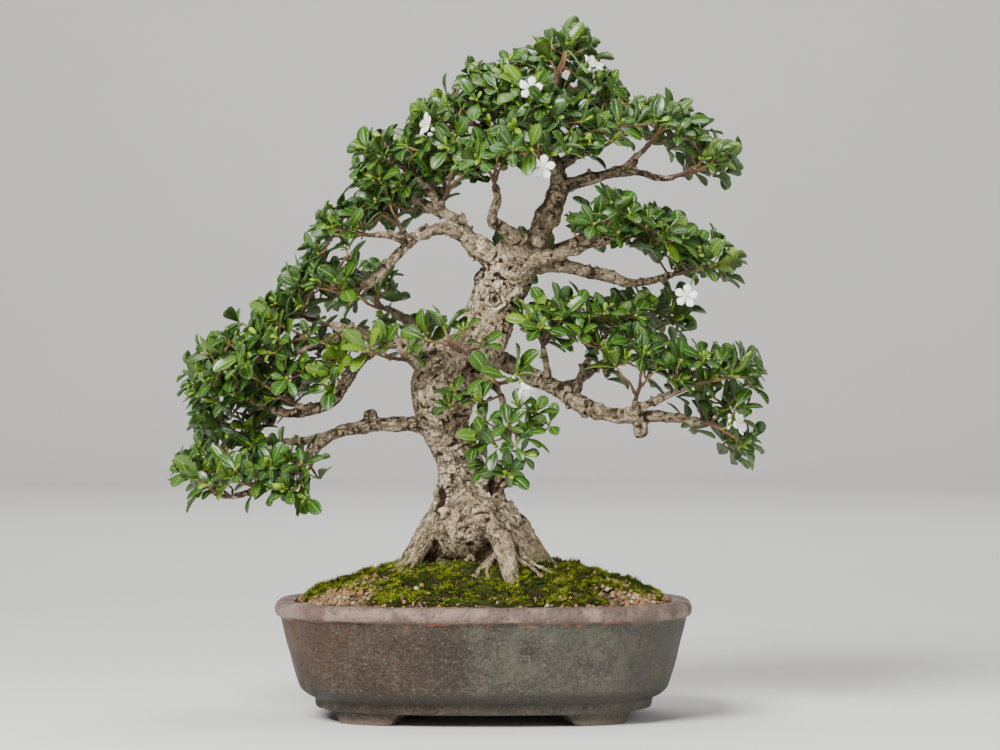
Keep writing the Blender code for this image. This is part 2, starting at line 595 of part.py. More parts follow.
def trunk_shape(path, margin=0.0):
    """Tube of the trunk, with shallow flutes that deepen towards its foot."""
    points, faces = tube_shape(path, TRUNK_SIDES, margin)
    for index, row in enumerate(path):
        row = Vector(row)
        depth = FLUTE_DEPTH + FLUTE_FOOT[1] * max(0.0, FLUTE_FOOT[0] - row.z)
        for side in range(TRUNK_SIDES):
            turn = 2.0 * math.pi * side / TRUNK_SIDES
            swell = 1.0 + depth * math.cos(FLUTES * turn + FLUTE_TWIST * row.z)
            corner = index * TRUNK_SIDES + side
            points[corner] = row.xyz + (points[corner] - row.xyz) * swell
    return points, faces


def sides_for(path):
    """Fewer sides on thinner wood."""
    if len(path) == 2 and path[0][3] == SPUR_RADIUS:
        return SPUR_SIDES
    return next(sides for radius, sides in WOOD_SIDES if path[0][3] > radius)


def length_of(path):
    return sum((Vector(b).xyz - Vector(a).xyz).length for a, b in zip(path, path[1:]))


def along(path, distance):
    """Row of the path at a distance from its start."""
    for a, b in zip(path, path[1:]):
        a, b = Vector(a), Vector(b)
        step = (b.xyz - a.xyz).length
        if distance <= step:
            return a.lerp(b, distance / step)
        distance -= step
    return Vector(path[-1])


def nearest(path, place):
    """Distance along the path of its point nearest to the place."""
    total = length_of(path)
    stops = [total * step / 60.0 for step in range(61)]
    return min(stops, key=lambda stop: (along(path, stop).xyz - place).length)


def cut_back(path, hub):
    """The branch up to the place where the green stem of its end spray begins."""
    total = length_of(path)
    end = total
    while end > BRANCH_LEAST * total and (along(path, end).xyz - hub).length < STEM_LENGTH:
        end -= BRANCH_STEP
    rows = []
    walked = 0.0
    for a, b in zip(path, path[1:]):
        if walked < end - 2.0 * BRANCH_STEP:
            rows.append(Vector(a))
        walked += (Vector(b).xyz - Vector(a).xyz).length
    return rows + [along(path, end)]


# Foliage

class Spray:
    """A leafy spray: a stem on the end of some wood, with shoots that bear leaves."""

    def __init__(self, name):
        self.name = name
        self.branch, place, middle, half, self.count = SPRAYS[name]
        self.at_end = place == "end"
        self.middle = Vector(middle)
        self.half = Vector(half)
        self.wood = []
        self.shoots = {}
        self.leaves = {}

    def settle(self, attempt):
        """Lay the wood and the stem; later attempts shift the middle of the spray."""
        rng = random.Random(f"{self.name} hub {attempt}")
        shift = Vector([rng.uniform(-1.0, 1.0) * HUB_SHIFT * attempt for _ in range(3)])
        self.hub = self.middle - Vector((0.0, 0.0, HUB_DROP * self.half.z)) + shift
        path = BRANCHES[self.branch]
        if self.at_end and not self.wood:
            self.wood = cut_back(path, self.hub)
        elif not self.at_end:
            stop = nearest(path, self.hub)
            close = along(path, stop)
            short = HUB_ROOM + close.w - (close.xyz - self.hub).length
            if short > 0.0:
                self.hub.z += short
            distance = (close.xyz - self.hub).length
            back = SPUR_LEAN * distance + SPUR_BACK
            root = along(path, max(stop - back, SPUR_FIRST * length_of(path)))
            reach = (self.hub - root.xyz).length
            way = (self.hub - root.xyz).normalized()
            spur = (root.w + SPUR_CLEAR) * reach / distance
            spur = min(spur + SPUR_SHARE * max(reach - 2.0 * STEM_LENGTH, 0.0), reach - STEM_LEAST)
            self.wood = [Vector((*place, SPUR_RADIUS)) for place in (root.xyz, root.xyz + way * spur)]
        start, end = self.wood[-2].xyz, self.wood[-1].xyz
        way = (end - start).normalized()
        self.stem = [end + way * GAP, end + way * (GAP + STEM_START), self.hub]

    def shoot(self, index, attempt):
        """Path of one shoot; later attempts turn it further from its first way."""
        rng = random.Random(f"{self.name} shoot {index} {attempt}")
        room = Vector([max(size - LEAF_REACH, 2.0) for size in self.half])
        loose = SHOOT_LOOSE * (1 + attempt)
        if index == 0:
            bend = Vector([rng.uniform(-loose, loose) for _ in range(3)])
            bend.z += SHOOT_RISE
            way = ((self.hub - self.stem[1]).normalized() + bend).normalized()
            start = self.hub
            end = start + way * sum(abs(a * b) for a, b in zip(way, room))
        else:
            order = (index + 0.5) / self.count
            height = SHOOT_HEIGHTS[0] + (SHOOT_HEIGHTS[1] - SHOOT_HEIGHTS[0]) * order
            turn = index * GOLDEN_ANGLE + len(self.name) + rng.uniform(-2.0, 2.0) * loose
            flat = math.sqrt(1.0 - height * height)
            way = Vector((math.cos(turn) * flat, math.sin(turn) * flat, height))
            first, last = SHOOT_STARTS
            start = self.stem[1].lerp(self.hub, first + (last - first) * index / self.count)
            end = self.middle + Vector([a * b for a, b in zip(way, room)])
        if (end - start).length < SHOOT_LENGTH:
            end = start + (end - start + way * 0.5).normalized() * SHOOT_LENGTH
        straight = (end - start).normalized()
        places = [start, end, end + straight * WHORL_LENGTH]
        if index == 0:
            places = self.stem[:2] + places
        else:
            places.insert(1, start + straight * NECK_LENGTH)
        return [Vector((*place, TWIG_RADIUS)) for place in places]

    def leaf(self, shoot, index, slot, attempt):
        """Direction, upward side and length of the leaf in one slot of a shoot."""
        rng = random.Random(f"{self.name} leaf {index} {slot} {attempt}")
        corners = slot_corners(shoot, slot)
        middle = sum(corners, Vector()) / len(corners)
        way = (shoot[-1].xyz - shoot[-2].xyz).normalized()
        spread = LEAF_TURN * (1 + attempt)
        if slot == TERMINAL:
            lean = math.radians(rng.uniform(*LEAN_END))
            out = way.orthogonal().normalized()
            out.rotate(Quaternion(way, rng.uniform(0.0, 2.0 * math.pi)))
        else:
            lean = math.radians(rng.uniform(*LEAN_SIDE))
            out = middle - (shoot[-1].xyz + shoot[-2].xyz) / 2.0
            out = (out - way * out.dot(way)).normalized()
            out.rotate(Quaternion(way, rng.uniform(-spread, spread)))
        heading = way * math.cos(lean) + out * math.sin(lean)
        heading = (heading + Vector((0.0, 0.0, rng.uniform(*LEAF_LIFT)))).normalized()
        outward = Vector((self.middle.x, self.middle.y, 0.0)) / CROWN_RADIUS
        up = Vector((rng.uniform(-FACE_LOOSE, FACE_LOOSE), rng.uniform(-FACE_LOOSE, FACE_LOOSE), FACE_UP))
        up += FACE_SHOOT * way + FACE_OUT * outward
        up = (up - heading * up.dot(heading)).normalized()
        return corners, heading, up, rng.uniform(*LEAF_LENGTH)


def slot_corners(shoot, slot):
    """Corners of the face of a shoot that carries the leaf in a slot."""
    points, faces = tube_shape(shoot, 3)
    face = faces[0] if slot == TERMINAL else faces[slot - 3]
    return [points[corner] for corner in face]


def leaf_points(corners, heading, up, length, margin=0.0):
    """Outline, midrib and keel of one obovate blade, folded along its midrib."""
    root = sum(corners, Vector()) / len(corners)
    side = heading.cross(up)
    half = 0.5 * LEAF_WIDTH * length

    def place(corner, hand=0, lift=0.0):
        share, wide, height = corner
        across = hand * (wide * half + margin)
        return root + side * across + heading * share * length + up * (height + lift)

    return [
        place(NEAR_CORNER, -1), place(NEAR_CORNER, 1), place(WIDE_CORNER, -1), place(WIDE_CORNER, 1),
        place(TIP_CORNER) + heading * margin,
        place(RIB_CORNER, 0, margin), place(RIB_CORNER, 0, -LEAF_THICKNESS - margin),
    ]


BLADE_FACES = ((0, 5, 2), (1, 3, 5), (2, 5, 4), (3, 4, 5), (0, 2, 6), (1, 6, 3), (2, 4, 6), (3, 6, 4))


def outer_blade(leaf, margin):
    """The blade beyond its foot as a closed shape of its own."""
    corners, heading, _, length = leaf
    foot_point = sum(corners, Vector()) / len(corners) + heading * BLADE_FOOT * length
    points = leaf_points(*leaf, margin) + [foot_point]
    return points, BLADE_FACES + ((0, 6, 7), (6, 1, 7), (1, 5, 7), (5, 0, 7))


def whole_blade(leaf, margin=0.0):
    """The blade down to its corners on the shoot."""
    points = list(leaf[0])
    return points, blade_on(points, tuple(range(len(points))), leaf, margin)


def blade_on(points, base, leaf, margin=0.0):
    """Add one blade to a shoot in place of a face of it, and return the blade's faces."""
    corners, heading, up, length = leaf
    root = sum(corners, Vector()) / len(corners)
    side = heading.cross(up)
    aims = ((-1, 1), (1, 1), (1, -1), (-1, -1)) if len(base) == 4 else ((-1, 1), (1, 1), (0, -1))
    flat = [((points[b] - root).dot(side), (points[b] - root).dot(up)) for b in base]

    def fit(order):
        return sum(flat[i][0] * aim[0] + flat[i][1] * aim[1] for i, aim in zip(order, aims))

    count = len(base)
    orders = [[(first + sign * step) % count for step in range(count)]
              for first in range(count) for sign in (-1, 1)]
    best = max(orders, key=fit)
    corner = [base[i] for i in best]
    top_left, top_right, low_right = corner[:3]
    low_left = corner[-1]
    first = len(points)
    points += leaf_points(*leaf, margin)
    near_left, near_right, midrib, keel = first, first + 1, first + 5, first + 6
    faces = [tuple(first + i for i in face) for face in BLADE_FACES]
    faces += [(top_left, top_right, midrib), (top_left, midrib, near_left),
              (top_right, near_right, midrib), (low_left, near_left, keel),
              (low_right, keel, near_right), (top_left, near_left, low_left),
              (top_right, low_right, near_right)]
    if low_left != low_right:
        faces.append((low_right, low_left, keel))
    return faces


def crosses_itself(points, faces):
    """True if two faces that share no corner cut each other."""
    tree = BVHTree.FromPolygons(points, faces)
    return any(not set(faces[a]) & set(faces[b]) for a, b in tree.overlap(tree))


def shoot_shape(index, shoot, leaves):
    """Points and faces of a shoot whose leaves grow from the faces of its last stretch."""
    points, faces = tube_shape(shoot, 3, pointed=index > 0)
    slots = {slot: faces[0] if slot == TERMINAL else faces[slot - 3] for slot in leaves}
    faces = [face for face in faces if face not in slots.values()]
    for slot, base in slots.items():
        faces += blade_on(points, base, leaves[slot])
    return points, faces


class Room:
    """What is already placed, to keep shoots, leaves and flowers clear of each other."""

    def __init__(self):
        self.taken = []

    def add(self, points, faces, owner):
        low = Vector([min(point[axis] for point in points) for axis in range(3)])
        high = Vector([max(point[axis] for point in points) for axis in range(3)])
        tree = BVHTree.FromPolygons([Vector(point) for point in points], faces)
        self.taken.append((low, high, tree, owner))

    def free(self, points, faces, skip=()):
        low = Vector([min(point[axis] for point in points) for axis in range(3)])
        high = Vector([max(point[axis] for point in points) for axis in range(3)])
        tree = None
        for other_low, other_high, other, owner in self.taken:
            if owner in skip:
                continue
            if any(low[axis] > other_high[axis] or high[axis] < other_low[axis] for axis in range(3)):
                continue
            tree = tree or BVHTree.FromPolygons(points, faces)
            if tree.overlap(other):
                return False
        return True


def thin_tube(places, margin=0.0):
    return tube_shape([Vector((*place, TWIG_RADIUS)) for place in places], 3, margin)


def settle_sprays(sprays, room):
    """Give each spray its wood and stem, those at branch ends first."""
    room.add(*trunk_shape(TRUNK), "wood")
    for path in STUBS.values():
        room.add(*tube_shape(path, 5), "wood")
    for spray in sprays:
        if spray.at_end:
            spray.settle(0)
            room.add(*tube_shape(spray.wood, 5), "wood")
    for spray in sorted(sprays, key=lambda spray: not spray.at_end):
        for attempt in range(ATTEMPTS):
            spray.settle(attempt)
            near = spray.stem[1].lerp(spray.hub, 0.1)
            if not spray.at_end:
                near = spray.wood[0].lerp(spray.wood[1], 0.8).xyz
            if room.free(*thin_tube([near, spray.hub], TEST_MARGIN)):
                break
        room.add(*thin_tube(spray.stem), spray.name + " stem")
        if not spray.at_end:
            room.add(*tube_shape(spray.wood, 3), "wood")


def make_tree(sprays):
    paths = [spray.wood for spray in sprays] + list(STUBS.values())
    tools = [tube_shape(BELLY, TRUNK_SIDES)] + [tube_shape(path, 6) for path in ROOTS.values()]
    tools += [tube_shape(path, sides_for(path)) for path in paths]
    tree = solid("tree", *trunk_shape(TRUNK))
    boolean(tree, [solid("limb", *tool) for tool in tools], "UNION", "MANIFOLD")
    keep_largest(tree)
    shade_round(tree, 60.0)
    return tree


def grow_shoots(spray, room):
    """Shoots of a spray, each at the first attempt that has room."""
    own_stem = spray.name + " stem"
    for index in range(spray.count):
        for attempt in range(ATTEMPTS):
            shoot = spray.shoot(index, attempt)
            places = [row.xyz for row in shoot[-3:]]
            outer = [places[0].lerp(places[1], 0.3), places[2]]
            clear = room.free(*thin_tube(places, TEST_MARGIN), skip=(own_stem, spray.name))
            if clear and room.free(*thin_tube(outer, TEST_MARGIN), skip=(own_stem,)):
                spray.shoots[index] = shoot
                break
        if index == 0 and not spray.shoots:
            spray.shoots[0] = spray.shoot(0, 0)
        if index in spray.shoots:
            room.add(*thin_tube([row.xyz for row in spray.shoots[index][-3:]]), spray.name)


def grow_leaves(spray, room):
    """Leaves of a spray, each at the first attempt that has room."""
    own_stem = spray.name + " stem"
    for index, shoot in spray.shoots.items():
        spray.leaves[index] = {}
        for slot in range(TERMINAL + 1):
            for attempt in range(ATTEMPTS):
                leaf = spray.leaf(shoot, index, slot, attempt)
                leafy = {**spray.leaves[index], slot: leaf}
                if crosses_itself(*shoot_shape(index, shoot, leafy)):
                    continue
                clear = room.free(*whole_blade(leaf, TEST_MARGIN), skip=(own_stem, spray.name))
                if clear and room.free(*outer_blade(leaf, TEST_MARGIN)):
                    room.add(*whole_blade(leaf), spray.name)
                    spray.leaves[index] = leafy
                    break


def make_spray(spray, pedicels):
    """One body: the stem with its first shoot, the other shoots and the flower stalks."""
    shapes = [shoot_shape(index, shoot, spray.leaves[index]) for index, shoot in spray.shoots.items()]
    shapes += [tube_shape(path, 3) for path in pedicels]
    body = solid("spray_" + spray.name, *shapes[0])
    boolean(body, [solid("shoot", *shape) for shape in shapes[1:]], "UNION", "MANIFOLD")
    keep_largest(body)
    return body


def bloom_shape(middle, facing):
    """Points and faces of a five-lobed flower on a short funnel."""
    facing = Vector(facing).normalized()
    across = facing.orthogonal().normalized()
    beside = facing.cross(across)
    points = [middle - facing * COROLLA_THROAT, middle - facing * COROLLA_DEPTH]
    for petal in range(5):
        for turn, reach, lift in LOBE:
            angle = (petal + turn) * 2.0 * math.pi / 5.0
            way = across * math.cos(angle) + beside * math.sin(angle)
            points.append(middle + way * reach * COROLLA_RADIUS + facing * lift)
    ring = list(range(2, 17))
    faces = []
    for here, after in zip(ring, ring[1:] + ring[:1]):
        faces += [(0, here, after), (1, after, here)]
    return points, faces


def pedicel_of(name, spray, room):
    """Path of the stalk from the spray to just behind its flower, clear of the other sprays."""
    _, middle, facing = BLOOMS[name]
    end = Vector(middle) - Vector(facing).normalized() * (COROLLA_DEPTH + GAP + 0.1)
    starts = [spray.hub] + [shoot[-2].lerp(shoot[-3], 0.3).xyz for shoot in spray.shoots.values()]
    starts.sort(key=lambda place: (place - end).length)
    own = (spray.name, spray.name + " stem")
    for start in starts:
        stalk = [Vector((*start, PEDICEL_RADIUS)), Vector((*end, PEDICEL_RADIUS))]
        if room.free(*tube_shape(stalk, 3, TEST_MARGIN), skip=own):
            break
    return stalk


def make_plant():
    """The tree, its leafy sprays and its flowers."""
    room = Room()
    sprays = {name: Spray(name) for name in SPRAYS}
    settle_sprays(sprays.values(), room)
    pieces = [make_tree(sprays.values())]
    for spray in sprays.values():
        grow_shoots(spray, room)
    pedicels = {name: [] for name in SPRAYS}
    for name, (home, middle, facing) in BLOOMS.items():
        stalk = pedicel_of(name, sprays[home], room)
        flower = bloom_shape(Vector(middle), facing)
        pedicels[home].append(stalk)
        room.add(*flower, "bloom")
        room.add(*tube_shape(stalk, 3), "pedicel")
        pieces.append(solid("bloom_" + name, *flower))
    for spray in sprays.values():
        grow_leaves(spray, room)
        pieces.append(make_spray(spray, pedicels[spray.name]))
    return pieces


def stand_on_origin(pieces):
    """Move everything so that the origin is the middle of its outline on the table."""
    bpy.context.view_layer.update()
    corners = [piece.matrix_world @ vert.co for piece in pieces for vert in piece.data.vertices]
    low = [min(corner[axis] for corner in corners) for axis in range(2)]
    high = [max(corner[axis] for corner in corners) for axis in range(2)]
    for piece in pieces:
        for axis in range(2):
            piece.location[axis] -= (low[axis] + high[axis]) / 2.0


def main():
    clear_scene()
    pieces = [make_pot(), make_soil()]
    pieces.append(make_screen("drainage_screen_left", -DRAIN_OFFSET))
    pieces.append(make_screen("drainage_screen_right", DRAIN_OFFSET))
    pieces.append(make_moss("moss_front", 18, 30, (1, 2, 3, 4)))
    pieces.append(make_moss("moss_right", 31, 39, (1, 2, 3, 4)))
    pieces.append(make_moss("moss_left", 8, 17, (1, 2, 3, 4)))
    pieces += make_plant()
    for piece in pieces:
        piece.data.materials.clear()
        piece.data.materials.append(finish_of(piece))
    stand_on_origin(pieces)


main()
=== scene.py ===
"""Fukien tea bonsai in its pot: the finished surfaces, leaves, flowers, moss and grit.

Lengths in the tables are millimetres, with x to the right, y away from the viewer and z up,
measured from the middle of the pot on the table. A row of a path is (x, y, z, radius).
"""

import json
import math
import random

import bmesh
import bpy
import numpy as np
from bpy.props import FloatProperty, FloatVectorProperty, IntProperty, PointerProperty
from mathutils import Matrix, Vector, noise
from mathutils.bvhtree import BVHTree
from mathutils.kdtree import KDTree

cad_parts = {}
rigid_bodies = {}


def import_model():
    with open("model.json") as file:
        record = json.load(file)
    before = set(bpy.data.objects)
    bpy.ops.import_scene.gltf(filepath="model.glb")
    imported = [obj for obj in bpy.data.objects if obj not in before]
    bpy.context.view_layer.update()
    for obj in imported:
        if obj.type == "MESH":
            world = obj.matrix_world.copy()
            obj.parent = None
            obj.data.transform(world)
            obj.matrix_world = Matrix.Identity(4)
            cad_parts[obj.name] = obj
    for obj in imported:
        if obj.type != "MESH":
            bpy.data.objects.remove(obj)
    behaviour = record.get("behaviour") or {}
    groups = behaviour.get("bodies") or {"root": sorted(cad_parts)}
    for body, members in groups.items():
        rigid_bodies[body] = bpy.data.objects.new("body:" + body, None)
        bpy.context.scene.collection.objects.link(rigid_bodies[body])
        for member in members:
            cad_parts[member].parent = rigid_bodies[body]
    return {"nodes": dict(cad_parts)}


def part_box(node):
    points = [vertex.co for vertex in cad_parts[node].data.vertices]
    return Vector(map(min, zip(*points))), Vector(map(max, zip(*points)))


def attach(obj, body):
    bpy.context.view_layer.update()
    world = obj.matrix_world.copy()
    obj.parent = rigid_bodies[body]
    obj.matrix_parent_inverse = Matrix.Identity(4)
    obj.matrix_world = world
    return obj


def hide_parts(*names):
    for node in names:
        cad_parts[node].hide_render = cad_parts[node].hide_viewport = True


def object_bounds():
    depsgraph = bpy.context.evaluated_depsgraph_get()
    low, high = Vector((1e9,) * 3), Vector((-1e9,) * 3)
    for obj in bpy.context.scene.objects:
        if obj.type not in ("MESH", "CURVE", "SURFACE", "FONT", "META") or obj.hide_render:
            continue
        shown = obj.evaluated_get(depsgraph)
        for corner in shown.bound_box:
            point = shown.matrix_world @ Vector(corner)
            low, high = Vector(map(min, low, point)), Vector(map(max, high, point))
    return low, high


bl_info = {
    "name": "Fukien Tea Bonsai",
    "version": (1, 0, 0),
    "blender": (4, 5, 0),
    "location": "3D View > Sidebar > Bonsai",
    "description": "Grows the bark, leaves, flowers, moss and pot of a small bonsai",
    "category": "Object",
}

for spare in list(bpy.data.objects):
    bpy.data.objects.remove(spare, do_unlink=True)

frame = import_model()
CAD_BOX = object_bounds()

MM = 0.001
UP = np.array((0.0, 0.0, 1.0))
POT_LOW, POT_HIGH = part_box("pot")
POT_MIDDLE = np.array(((POT_LOW.x + POT_HIGH.x) / 2.0, (POT_LOW.y + POT_HIGH.y) / 2.0, 0.0))

# Pot, soil and mound, as they are in the frame
POT_LENGTH = (POT_HIGH.x - POT_LOW.x) / MM
POT_WIDTH = (POT_HIGH.y - POT_LOW.y) / MM
RIM_HEIGHT = POT_HIGH.z / MM
RIM_BAND = 9.0
OVAL_POWER = 2.7
FLOOR_UNDER = 5.0
FLOOR_TOP = 11.0
FOOT_SPAN = (35.0, 63.0)
FOOT_DEPTH = 13.0
DRAIN_OFFSET = 34.0
DRAIN_RADIUS = 6.0
WALL_GAP = 0.5                # between the soil and the pot's wall
SOIL_EDGE = 49.5
MOUND_RISE = 19.0
MOUND_POWER = 1.8
MOUND_TOP = 0.36              # share of the way out where the mound goes flat, under the trunk

# Foliage of the frame
TWIG_RADIUS = 1.05
BLADE_THICKNESS = 0.85
BLADE_FOLD = (0.6, 0.45)      # the midrib's place along a blade, and its height

TRUNK = (
    (-2, 4, 55, 12.5), (-2, 4, 67, 12.5), (-4, 2, 77, 15.5), (-5, 1, 87, 16.2), (-6, 2, 95, 14.0),
    (-9, 3, 104, 11.0), (-12, 2, 113, 9.4), (-16, 0, 122, 10.0), (-18, -2, 132, 12.3),
    (-17, -3, 143, 14.8), (-12, -2, 151, 14.2), (-4, 0, 159, 11.3), (1, 2, 169, 10.9),
    (5, 3, 180, 11.0), (10, 3, 191, 11.2), (14, 2, 199, 10.2), (16, 2, 204, 6.5),
)

# Bulge of the trunk over its front roots
BELLY = ((-4, -3, 92, 11.0), (-6, -6, 83, 14.5), (-6, -6, 76, 13.0), (-4, -6, 71, 9.5))

ROOTS = {
    "left": ((-14, -2, 92, 6.0), (-21, -5, 84, 5.2), (-27, -8, 75, 4.5), (-33, -11, 66, 4.0),
             (-43, -14, 57, 3.0)),
    "right": ((5, 0, 87, 9.4), (14, -3, 77, 8.2), (23, -7, 67, 6.6), (34, -12, 58, 3.8)),
    "front": ((3, -9, 83, 4.9), (8, -21, 76, 4.6), (11, -31, 67, 3.9), (13, -42, 54, 3.1)),
    "front_left": ((7, -22, 72, 1.9), (0, -28, 66, 1.5), (-8, -35, 58, 1.1)),
    "rear_left": ((-10, 6, 82, 8.0), (-21, 22, 72, 5.2), (-38, 46, 56, 2.2)),
    "rear_right": ((4, 6, 82, 8.0), (14, 24, 72, 5.2), (30, 47, 56, 2.2)),
}

BRANCHES = {
    "low_left": ((-18, -2, 126, 6.0), (-31, -4, 126, 3.6), (-47, -8, 126, 3.0), (-66, -12, 121, 2.6),
                 (-79, -15, 109, 2.1), (-94, -17, 99, 1.7), (-109, -18, 95, 1.4)),
    "low_left_rear": ((-66, -12, 121, 2.2), (-79, -4, 119, 1.8), (-93, 5, 119, 1.5),
                      (-107, 9, 123, 1.2)),
    "shoulder": ((-15, -2, 147, 8.5), (-26, -4, 153, 5.2), (-37, -5, 161, 2.9), (-52, -8, 165, 2.6),
                 (-66, -10, 169, 1.8), (-76, -11, 172, 1.3)),
    "shoulder_rear": ((-26, -3, 153, 3.0), (-28, 16, 166, 2.4), (-41, 36, 176, 1.9),
                      (-56, 46, 179, 1.3)),
    "left_drop": ((-44, -6, 163, 2.6), (-53, -6, 153, 2.4), (-66, -8, 136, 2.4), (-84, -10, 131, 1.9),
                  (-105, -12, 138, 1.2)),
    "left_top": ((-56, -8, 166, 2.0), (-68, -13, 162, 1.6), (-82, -16, 156, 1.3),
                 (-100, -18, 152, 1.2)),
    "upper_left": ((13, 0, 195, 7.2), (1, -3, 200, 5.2), (-9, -6, 208, 3.9), (-20, -8, 210, 2.9),
                   (-33, -10, 203, 2.2), (-45, -13, 190, 1.9), (-59, -15, 180, 1.3)),
    "upper_left_high": ((-5, -4, 204, 3.6), (-14, -3, 215, 2.8), (-25, 2, 221, 2.0),
                        (-40, 5, 228, 1.3)),
    "upper_left_rise": ((-17, -1, 216, 2.4), (-22, -2, 225, 1.8), (-32, -5, 236, 1.2)),
    "left_tier": ((-30, -10, 204, 2.2), (-40, -16, 207, 1.6), (-54, -21, 207, 1.2)),
    "snake": ((17, -2, 199, 4.2), (12, -12, 208, 3.1), (4, -17, 213, 2.6), (6, -20, 222, 1.9),
              (4, -22, 234, 1.3)),
    "leader": ((13, 1, 195, 8.0), (21, 2, 203, 5.8), (26, 3, 213, 4.9), (31, 4, 224, 4.4),
               (32, 5, 235, 3.3), (27, 8, 249, 2.5), (29, 7, 263, 1.9), (33, 6, 278, 1.3)),
    "upper_right": ((30, 4, 228, 3.6), (46, 0, 232, 2.6), (62, -2, 235, 2.0), (78, -4, 232, 1.5),
                    (94, -4, 236, 1.2)),
    "upper_right_shoot": ((59, -2, 235, 1.9), (68, -6, 243, 1.4), (75, -8, 252, 1.2)),
    "crown_right": ((32, 5, 237, 2.6), (44, 7, 246, 1.8), (52, 8, 255, 1.3)),
    "crown_left": ((28, 7, 246, 2.4), (12, -6, 250, 1.8), (-4, -12, 255, 1.3)),
    "crown_rear": ((30, 6, 241, 2.6), (28, 26, 248, 1.9), (24, 46, 258, 1.3)),
    "crown_front": ((32, 2, 232, 2.4), (30, -18, 236, 1.6), (27, -34, 240, 1.2)),
    "right_high": ((14, 0, 196, 5.0), (28, -5, 198, 3.0), (46, -12, 203, 1.9), (64, -16, 207, 1.3)),
    "right_low": ((14, 2, 194, 5.0), (30, 1, 195, 3.2), (48, -4, 191, 2.8), (65, -6, 187, 2.0),
                  (80, -8, 190, 1.5), (94, -9, 196, 1.2)),
    "right_rear": ((14, 3, 197, 3.4), (27, 24, 202, 2.2), (41, 40, 207, 1.6), (56, 50, 212, 1.2)),
    "bottom_right": ((-3, 3, 158, 6.0), (9, 16, 153, 4.2), (20, 18, 147, 3.7), (33, 8, 141, 3.5),
                     (48, -4, 132, 3.3), (64, -8, 130, 3.0), (82, -10, 129, 2.1),
                     (103, -12, 126, 1.3)),
    "bottom_right_up": ((39, 3, 137, 2.4), (43, 2, 149, 1.6), (50, 1, 161, 1.2)),
    "bottom_right_fore": ((60, -7, 130, 2.4), (72, -14, 136, 1.7), (86, -18, 142, 1.4),
                          (99, -18, 144, 1.2)),
    "bottom_right_rear": ((33, 8, 141, 2.6), (42, 27, 145, 2.0), (54, 42, 154, 1.6),
                          (68, 50, 164, 1.2)),
    "bottom_right_in": ((28, 11, 144, 2.4), (27, 0, 153, 1.6), (25, -9, 162, 1.2)),
    "front_drop": ((-4, -6, 150, 2.8), (4, -24, 145, 1.7), (9, -37, 134, 1.3), (11, -41, 126, 1.2)),
    "front_shoot": ((-2, -6, 151, 2.4), (-3, -21, 152, 1.5), (-10, -30, 158, 1.2)),
    "rear": ((4, 3, 175, 4.0), (7, 28, 180, 2.7), (10, 50, 187, 1.9), (14, 64, 194, 1.3)),
    "rear_low": ((-12, 3, 144, 3.6), (-17, 30, 149, 2.3), (-25, 52, 155, 1.6), (-32, 64, 160, 1.2)),
}

STUBS = {
    "low_left": ((-48, -8, 126, 2.6), (-49, -8, 132, 2.9)),
    "bottom_right": ((67, -8, 130, 2.8), (68, -8, 121, 3.2)),
    "trunk_right": ((0, 0, 105, 5.0), (9, -3, 100, 5.0)),
    "trunk_left": ((-12, -2, 96, 5.6), (-19, -6, 95, 5.0)),
    "upper_left": ((-9, -5, 208, 2.0), (-9, -6, 217, 1.4)),
}


# Points, paths and meshes

def shifted(points):
    """Points in the pot's own millimetres as metres in the frame."""
    return np.asarray(points, float).reshape(-1, 3) * MM + POT_MIDDLE


def new_piece(name, points, faces, material, slot, stands_for, layers=None):
    """A smooth piece that rides on the tree's only body."""
    mesh = bpy.data.meshes.new(name)
    mesh.from_pydata(shifted(points).tolist(), [], faces)
    mesh.validate()
    dressed(name, mesh, material, stands_for, layers)


def dressed(name, mesh, material, stands_for, layers=None):
    """Give a finished mesh its values, its material and its place in the frame's table."""
    mesh.name = name
    mesh.shade_smooth()
    for key, values in (layers or {}).items():
        add_layer(mesh, key, np.asarray(values, float))
    mesh.materials.clear()
    mesh.materials.append(material)
    piece = linked(name, mesh)
    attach(piece, "root")
    if stands_for:
        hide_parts(*stands_for)


def add_layer(mesh, key, values):
    """Store one number or vector for each corner point, or for each face."""
    domain = "POINT" if len(values) == len(mesh.vertices) else "FACE"
    if values.ndim == 2:
        layer = mesh.attributes.new(key, "FLOAT_VECTOR", domain)
        layer.data.foreach_set("vector", values.ravel())
    else:
        layer = mesh.attributes.new(key, "FLOAT", domain)
        layer.data.foreach_set("value", values)


def linked(name, data):
    """A new object in the scene."""
    thing = bpy.data.objects.new(name, data)
    bpy.context.scene.collection.objects.link(thing)
    return thing


def applied(thing):
    """The mesh of an object as its modifiers leave it."""
    return bpy.data.meshes.new_from_object(thing.evaluated_get(bpy.context.evaluated_depsgraph_get()))


def vectors_of(items, key):
    """One vector of each item of a mesh, such as the place of each point."""
    values = np.empty(len(items) * 3, np.float32)
    items.foreach_get(key, values)
    return values.reshape(-1, 3).astype(float)


def move_points(mesh, points):
    """Put a mesh's points at new places, given in the pot's own millimetres."""
    mesh.vertices.foreach_set("co", shifted(points).astype(np.float32).ravel())
    mesh.update()


def unit(vectors):
    """Vectors of length one."""
    vectors = np.asarray(vectors, float)
    lengths = np.linalg.norm(vectors, axis=-1, keepdims=True)
    return vectors / np.maximum(lengths, 1e-9)


def noise_at(points, size, seed):
    """Smooth noise of about -1 to 1 at each point, with lumps of the given size."""
    scaled = np.asarray(points, float) / size + seed
    return np.array([noise.noise(place) for place in scaled.tolist()])


def layered_noise(points, *layers):
    """Sum of noises, each given as (height, size of its lumps, seed)."""
    return sum(height * noise_at(points, size, seed) for height, size, seed in layers)


